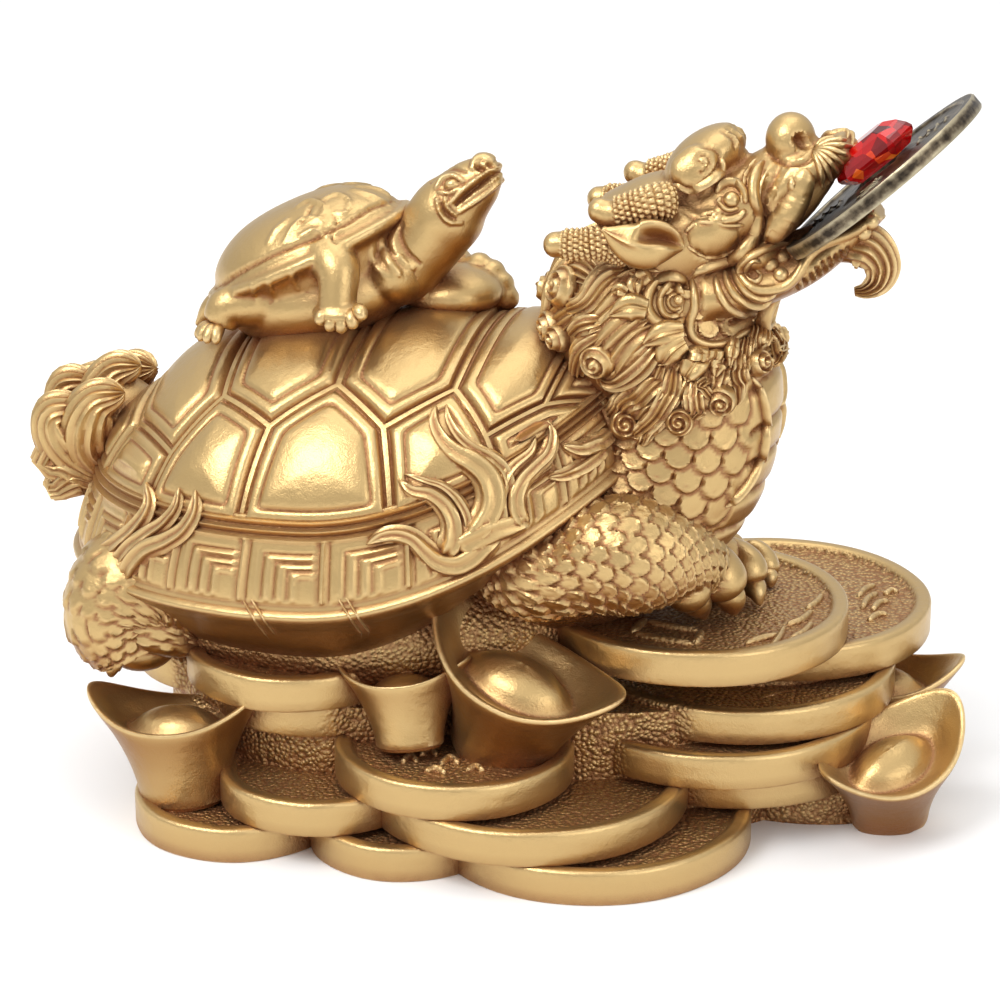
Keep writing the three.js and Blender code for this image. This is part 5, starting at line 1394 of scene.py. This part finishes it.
# Neck ridges, drawn on the picture
neck_tree = tree_of([neck])
neck_ridge = laid(
    neck_tree, close_up([(905, 1120), (938, 1180), (957, 1260), (958, 1340), (946, 1420), (915, 1500),
                         (860, 1580), (800, 1640)]), [0.4, 0.5, 0.5, 0.5, 0.5, 0.5, 0.5, 0.3],
    [0.9, 1.2, 1.2, 1.2, 1.2, 1.2, 1.2, 0.8], sink=0.2, sides=14, steps=80)
neck_shells = [neck] + both([neck_ridge])


# Bushy tail: how steeply each lock rises in degrees, its reach and half-width
TAIL = [(-2, 6.2, 2.8), (34, 8.1, 3.5), (64, 12.4, 3.9), (95, 13.8, 3.9)]
tail_shells = [lump((-49, 0, 41), (6, 7, 9), sides=40, rows=26)]
for row in (-1, 0, 1):
    for lift, reach, radius in TAIL:
        turned = math.radians(180 - lift)
        far = reach * (0.86 if row else 1)
        c, s = math.cos(turned), math.sin(turned)
        path = [
            (-48.5, row * 3, 37),
            (-50.5 + far * 0.5 * c - 1.5 * s, row * 5.2, 37 + far * 0.5 * s - 1.5 * c),
            (-50.5 + far * c, row * 6.2, 37 + far * s),
            (-50.5 + far * 0.92 * c + 3.2 * s, row * 5.4, 38 + far * s)]
        tail_shells.append(sweep(path, [2.0, radius - 0.2, radius - 0.2, 1.2], up=(0, 1, 0.01), sides=60,
                                 steps=50, relief=grooved(16, 0.2), rounded=0.1))


# Small turtle on the back: its middle, pitch and half-sizes
CUB_AT, CUB_PITCH, CUB_LENGTH, CUB_WIDTH = (-23.4, 0, 68.7), math.radians(26), 14.2, 11.4


def cub_point(u, w, h):
    """Points along, across and above the small turtle's middle."""
    c, s = math.cos(CUB_PITCH), math.sin(CUB_PITCH)
    return np.stack(np.broadcast_arrays(
        CUB_AT[0] + u * c - h * s, w, CUB_AT[2] + u * s + h * c), -1)


def cub_shell():
    """The small shell from its underside over the rim to the top."""
    profile = np.array([
        (0.70, -6.2), (0.80, -3.4), (0.86, -1.7), (0.95, -1.0), (0.985, -0.75), (1.0, -0.35), (1.0, 0.1),
        (0.975, 0.42), (0.93, 0.55), (0.91, 0.75), (0.89, 1.2), (0.85, 2.3), (0.76, 3.6), (0.62, 4.85),
        (0.45, 5.75), (0.25, 6.25), (0.06, 6.4)])
    around = circle(120)[None, :]
    share = np.linspace(0, 1, 60)
    r = along(profile[:, 0], share)[:, None]
    lowest = profile[:, 1].min()
    h = along(profile[:, 1] - lowest, share)[:, None] + lowest
    return tube(cub_point(r * CUB_LENGTH * np.cos(around), r * CUB_WIDTH * np.sin(around), h))


def cub_toes(at, heading, reach):
    """Four small toes, fanned about a heading."""
    count = 4
    x, y, z = at
    toes = []
    for i in range(count):
        angle = heading + math.radians(26) * (i - (count - 1) / 2)
        c, s = math.cos(angle), math.sin(angle)
        path = [(x, y, z + 0.8), (x + reach * 0.6 * c, y + reach * 0.6 * s, z + 0.9),
                (x + reach * c, y + reach * s, z - 0.4)]
        toes.append(sweep(path, [0.7, 0.85, 0.5], sides=16, steps=16, rounded=0.2))
    return toes


# Strokes on the small turtle: line, half-widths and heights
CUB_LINES = [
    # mouth, lips and the folds at its corner
    ([(456, 205), (466, 196), (479, 186), (492, 177), (502, 172)], [0.3, 0.4, 0.4, 0.35, 0.2],
     [-0.5, -0.9, -0.9, -0.7, -0.2]),
    ([(450, 203), (461, 191), (475, 180), (489, 171), (499, 168)], [0.3, 0.35, 0.35, 0.3, 0.25],
     [0.3, 0.45, 0.45, 0.45, 0.3]),
    ([(459, 212), (471, 204), (485, 194), (499, 183)], [0.3, 0.35, 0.35, 0.3], [0.3, 0.45, 0.45, 0.3]),
    ([(437, 200), (441, 213), (450, 222), (461, 223)], [0.35, 0.4, 0.4, 0.3], [0.4, 0.6, 0.6, 0.3]),
    ([(445, 198), (448, 208), (456, 215)], [0.25, 0.3, 0.25], [0.3, 0.5, 0.3]),
    ([(441, 204), (446, 214), (455, 219)], [0.25, 0.3, 0.25], [-0.2, -0.35, -0.2]),
    # eye and brow
    ([(436, 188), (443, 179), (454, 176), (463, 181)], [0.25, 0.35, 0.35, 0.25], [0.3, 0.5, 0.5, 0.3]),
    ([(439, 192), (449, 193), (460, 188)], [0.25, 0.3, 0.25], [0.3, 0.4, 0.3]),
    ([(450, 185), (453, 184)], [0.7, 0.7], [0.6, 0.6]),
    ([(430, 182), (439, 172), (452, 168), (465, 172)], [0.3, 0.4, 0.4, 0.3], [-0.2, -0.35, -0.35, -0.2]),
    # nose
    ([(478, 167), (482, 169)], [0.5, 0.5], [-0.8, -0.8]),
    ([(489, 164), (492, 166)], [0.4, 0.4], [-0.6, -0.6]),
    ([(472, 168), (476, 160), (484, 157), (491, 160)], [0.4, 0.5, 0.5, 0.4], [0.3, 0.5, 0.5, 0.3]),
    # folds of skin round the neck
    ([(396, 226), (393, 240), (399, 256), (412, 268)], [0.5, 0.65, 0.65, 0.5], [0.1, 0.45, 0.5, 0.3]),
    ([(402, 224), (400, 236), (407, 252), (420, 264)], [0.35, 0.4, 0.4, 0.3], [-0.1, -0.3, -0.3, -0.2]),
    ([(385, 236), (383, 246), (388, 260), (399, 274)], [0.5, 0.6, 0.6, 0.5], [0.1, 0.4, 0.45, 0.3]),
    ([(374, 246), (372, 256), (376, 266), (386, 277)], [0.4, 0.5, 0.5, 0.4], [0.1, 0.35, 0.4, 0.2]),
    # curls on the shell
    ([(284, 243), (294, 226), (308, 217), (322, 222), (320, 232)], [0.25, 0.28, 0.28, 0.25, 0.2],
     [0.15, 0.3, 0.3, 0.3, 0.15]),
    ([(296, 207), (310, 200), (324, 207), (319, 219), (309, 221)], [0.25, 0.28, 0.28, 0.25, 0.2],
     [0.15, 0.3, 0.3, 0.3, 0.15]),
    ([(322, 199), (338, 194), (350, 202), (345, 213), (336, 212)], [0.25, 0.28, 0.28, 0.25, 0.2],
     [0.15, 0.3, 0.3, 0.3, 0.15]),
    ([(300, 236), (313, 230), (328, 236), (342, 228)], [0.3, 0.35, 0.35, 0.25], [0.2, 0.35, 0.35, 0.2]),
    ([(268, 243), (276, 230), (288, 219)], [0.3, 0.35, 0.3], [0.15, 0.3, 0.15]),
    ([(334, 214), (337, 224), (332, 236), (336, 243)], [0.2, 0.25, 0.25, 0.2],
     [-0.3, -0.45, -0.45, -0.3]),
    ([(312, 206), (306, 216), (300, 224)], [0.2, 0.25, 0.2], [-0.2, -0.35, -0.2]),
    ([(368, 188), (384, 192), (400, 199)], [0.25, 0.3, 0.25], [0.2, 0.35, 0.2]),
    ([(352, 189), (372, 196), (390, 204)], [0.25, 0.3, 0.25], [0.2, 0.35, 0.2]),
    # the groove above the rim of the shell
    ([(217, 289), (240, 273), (275, 254), (310, 240), (345, 224), (372, 208), (394, 202)],
     [0.3, 0.4, 0.4, 0.4, 0.4, 0.4, 0.3], [-0.2, -0.45, -0.45, -0.45, -0.45, -0.45, -0.2]),
]
for x, y in ((252, 286), (268, 281), (291, 273)):
    CUB_LINES.append(([(x, y), (x + 3, y + 8), (x + 7, y + 16)], [0.4, 0.45, 0.4], [0.15, 0.3, 0.15]))

cub_head = sweep(
    beside([(392, 276), (410, 256), (428, 238), (444, 219), (459, 200), (476, 184), (490, 175),
            (502, 172)], 0),
    [4.6, 4.7, 4.4, 4.3, 4.3, 3.5, 2.7, 1.4], [4.9, 5.0, 4.7, 4.6, 4.6, 3.8, 3.0, 1.7],
    up=(-0.7, 0, 1), sides=64, steps=80, rounded=0.06)
cub_body = [
    cub_shell(),
    lump((-22.0, 0, 63.4), (12.2, 9.6, 6.2), pitch=math.radians(14), sides=60, rows=36),
    lump(beside([(398, 268)], 0)[0], (4.6, 6.4, 4.6), sides=40, rows=26),
    sweep([(-32, 0, 62.0), (-36.0, 0, 60.4), (-38.4, 0, 57.6)], [2.1, 1.7, 0.5], sides=20, steps=20,
          up=(0.5, 0, 1)),
    # near front leg
    sweep(beside([(326, 252), (338, 272), (338, 292), (336, 312)], [-7.4, -9.6, -10.6, -11.2]),
          [2.8, 2.8, 2.4, 2.3], up=(1, 0, 0.1), sides=32, steps=26),
    lump(beside([(339, 314)], -11.6)[0], (3.4, 2.4, 1.5), sides=36, rows=24),
    # far front leg and the folds under it
    sweep([(-15, 8, 69), (-10.4, 10.0, 66.4), (-6.8, 10.6, 63.4), (-4.6, 10.6, 61.0)],
          [3.1, 3.3, 2.9, 2.3], up=(1, 0, 0.4), sides=32, steps=26, rounded=0.2),
    lump((-4.4, 11.4, 60.6), (3.2, 2.8, 1.8), pitch=math.radians(-14), sides=36, rows=24),
    lump(beside([(452, 290)], 4)[0], (6.4, 6.0, 3.2), sides=40, rows=26),
    lump(beside([(478, 290)], 7)[0], (4.2, 4.4, 3.2), sides=40, rows=26)]
cub_body += [lump(beside([at], depth)[0], (1.7, 1.9, 1.6), sides=24, rows=16) for at, depth in (
    ((479, 265), 8.5), ((492, 272), 8.0), ((501, 284), 7.4), ((506, 298), 6.8), ((470, 268), 9.0))]
cub_body += both([sweep([(-27, -6, 63.5), (-31.4, -7.8, 62.8), (-32.4, -8.4, 60.8)], [3.3, 2.9, 2.1],
                        up=(0, -1, 0.1), sides=32, steps=24)])
cub = [melted(shells, voxel, rounds, carved(CUB_LINES)) for shells, voxel, rounds in (
    (cub_body, 0.36, 1), ([cub_head], 0.21, 2))]
# Toes of the near front leg
for start, tip in (((323, 312), (318, 325)), ((331, 314), (329, 332)), ((340, 314), (341, 334)),
                   ((349, 312), (353, 330)), ((357, 308), (363, 321))):
    path = beside([start, ((start[0] + tip[0]) / 2 + 1, (start[1] + tip[1]) / 2 - 1), tip],
                  [-12.0, -13.2, -13.4])
    cub.append(sweep(path, [0.8, 0.9, 0.55], sides=16, steps=16, rounded=0.2))
cub += cub_toes((-3.6, 12.0, 60.0), math.radians(60), 3.4)
cub += both(cub_toes((-32.2, -8.8, 59.6), math.radians(240), 3.0))


# Loose coin in the mouth and the crystal on it
LOOSE_AT, LOOSE_PITCH = np.array([47.3, 0, 82.5]), math.radians(42)
LOOSE_RADIUS, LOOSE_THICK, LOOSE_RIM, LOOSE_HOLE = 14.0, 1.8, 1.5, 3.0


def on_loose(points):
    """Points of the coin's own frame, whose X axis runs up the slope."""
    c, s = math.cos(LOOSE_PITCH), math.sin(LOOSE_PITCH)
    points = np.asarray(points, float)
    return np.stack([points[..., 0] * c - points[..., 2] * s, points[..., 1],
                     points[..., 0] * s + points[..., 2] * c], -1) + LOOSE_AT


def loose_coin():
    """A worn cast coin with a raised rim, a square hole in a raised frame, and short strokes."""
    around = circle(180)
    square = 1 / np.maximum(np.abs(np.cos(around)), np.abs(np.sin(around)))
    inner = LOOSE_HOLE * square
    half = LOOSE_THICK / 2

    def face(side):
        rings = []
        for share in np.r_[0, 0.12, np.linspace(0.25, 1, 46)]:
            r = inner + (LOOSE_RADIUS - 0.12 - inner) * share
            x, y = r * np.cos(around), r * np.sin(around)
            frame_edge = np.maximum(np.abs(x), np.abs(y)) - (LOOSE_HOLE + 1.2)
            rim = r - (LOOSE_RADIUS - LOOSE_RIM)
            field = step(-0.05, 0.25, frame_edge) * step(0.05, -0.25, rim)
            low = half - 0.3 * field
            for u, v in ((x, y), (y, x)):
                for k, place in enumerate((6.1, 7.4, 8.7, 10.0)):
                    long = 1.9 - 0.35 * (k % 2)
                    low = low + 0.24 * field * ridge(np.abs(u) - place, 0.42) * step(
                        long, long - 0.35, np.abs(v - 0.5 * (k % 2)))
                low = low + 0.2 * field * ridge(v - 0.8, 0.35) * step(
                    0, 0.4, np.abs(u) - 5.6) * step(0, 0.4, 10.4 - np.abs(u))
            rings.append(np.stack([x, y, side * low], -1))
        return rings

    r = LOOSE_RADIUS + 0.04 * np.sin(5 * around)
    edge = [
        np.stack([r * np.cos(around), r * np.sin(around), np.full(len(around), half * share)], -1)
        for share in (0.75, 0.25, -0.25, -0.75)]
    rings = np.array(face(1) + edge + face(-1)[::-1])
    count, sides = rings.shape[:2]
    i = np.arange(sides)
    j = (i + 1) % sides
    base = (np.arange(count) * sides)[:, None]
    after = (np.arange(1, count + 1) % count * sides)[:, None]
    quads = np.stack([base + i, base + j, after + j, after + i], -1).reshape(-1, 4)
    return outward(on_loose(rings.reshape(-1, 3)), quads, np.zeros((0, 3), int))


def cut_crystal():
    """A long hexagon with two rows of crown facets, a table and a small pavilion."""
    long, wide, tall, lift = 5.6, 3.6, 3.9, 1.2
    outline = [(-1.0, 0), (-0.62, -1.0), (0.62, -1.0), (1.0, 0), (0.62, 1.0), (-0.62, 1.0)]
    rings = []
    for share, height in (
            (0.74, 0.0), (0.97, 0.28), (1.0, 0.40), (0.95, 0.56), (0.80, 0.82), (0.56, 1.0)):
        rings.append([
            (x * share * long + 1.0, y * share * wide, lift + height * tall) for x, y in outline])
    return tube(on_loose(np.array(rings)))


gold = gold_paint("gold_paint")
sandy_gold = gold_paint("sandy_gold_paint", sandy=True)
sunk_faces = [(x, y, radius - COIN_RIM, layer * COIN + COIN_FACE) for x, y, radius, layer in COINS]


def coin_sand(place, normal):
    """The sandy faces of the coins and the ground between them."""
    grain = np.zeros(len(place))
    for x, y, radius, z in sunk_faces:
        away = np.hypot(place[:, 0] - x, place[:, 1] - y)
        grain = np.maximum(grain, step(radius + 0.25, radius - 0.15, away) * ridge(place[:, 2] - z, 0.9))
    grain *= step(0.3, 0.7, normal[:, 2])
    for (x, y), (long, wide), tall, _ in GROUNDS:
        away = np.hypot((place[:, 0] - x) / long, (place[:, 1] - y) / wide)
        top = step(1.0, 0.97, away) * ridge(place[:, 2] - tall, 1.2)
        ground = np.maximum(ridge(away - 1, 0.07), top)
        grain = np.maximum(grain, ground * step(tall + 1.2, tall + 0.6, place[:, 2]))
    return grain


finish_piece(fused("coin_bed", bed_shells), sandy_gold, "dragon_turtle", sharp=40, sand=coin_sand)
finish_piece(fused("trunk", trunk_shells), sandy_gold, "dragon_turtle",
             sand=lambda place, normal: np.full(len(place), 0.8))
for piece_name, shells in (
        ("carapace", carapace_shells), ("limbs", limb_shells),
        ("neck", neck_shells), ("head", head_shells), ("mane", mane_shells), ("tail", tail_shells),
        ("small_turtle", cub)):
    # Limbs and neck count shallower hollows, so painted shade outlines their scales.
    finish_piece(fused(piece_name, shells), gold, "dragon_turtle",
                 hollow=0.14 if piece_name in ("limbs", "neck") else 0.45)
finish_piece(fused("loose_coin", [loose_coin()]), bronze_metal("aged_bronze"), "mouth_coin", sharp=30)
finish_piece(fused("red_crystal", [cut_crystal()]), crystal_glass("red_crystal"), "red_gem", sharp=5)


# Floor and light
def stage_floor():
    """White paper under the figure."""
    mesh = bpy.data.meshes.new("floor")
    size = 1.2
    mesh.from_pydata([(-size, -size, 0), (size, -size, 0), (size, size, 0), (-size, size, 0)], [],
                     [(0, 1, 2, 3)])
    floor = bpy.data.objects.new("floor", mesh)
    bpy.context.scene.collection.objects.link(floor)
    material, _, shader = new_material("floor_paper")
    shader.inputs["Base Color"].default_value = (0.9, 0.9, 0.9, 1)
    shader.inputs["Roughness"].default_value = 0.8
    mesh.materials.append(material)


def soft_light(name, location, size, power):
    """A square light, turned to the middle of the figure."""
    aim = (0, 0, 0.04)
    data = bpy.data.lights.new(name, "AREA")
    data.shape = "RECTANGLE"
    data.size = data.size_y = size
    data.energy = power
    lamp = bpy.data.objects.new(name, data)
    lamp.location = location
    lamp.rotation_euler = (Vector(aim) - Vector(location)).to_track_quat("-Z", "Y").to_euler()
    bpy.context.scene.collection.objects.link(lamp)


stage_floor()
soft_light("key", (-0.25, -0.35, 0.55), 0.35, 2.6)
soft_light("fill", (0.55, -0.35, 0.30), 0.4, 1.0)
soft_light("top", (0.0, 0.15, 0.7), 0.5, 1.1)


def studio():
    """A white room to look at, whose light on the object comes mostly from above."""
    world = bpy.data.worlds.new("studio")
    world.use_nodes = True
    tree = world.node_tree
    direction = add_node(tree, "ShaderNodeTexCoord").outputs["Generated"]
    split = add_node(tree, "ShaderNodeSeparateXYZ", {"Vector": direction})
    height = add_node(tree, "ShaderNodeMapRange", {
        "Value": split.outputs["Z"], "From Min": -0.1, "From Max": 0.9, "To Min": 0.58,
        "To Max": 1.05})
    rays = add_node(tree, "ShaderNodeLightPath")
    pick = add_node(tree, "ShaderNodeMix", {
        "Factor": rays.outputs["Is Camera Ray"], "A": height.outputs["Result"], "B": 1.0})
    background = tree.nodes["Background"]
    background.inputs["Color"].default_value = (1, 1, 1, 1)
    tree.links.new(pick.outputs["Result"], background.inputs["Strength"])
    bpy.context.scene.world = world


studio()
bpy.context.scene.view_settings.view_transform = "Standard"
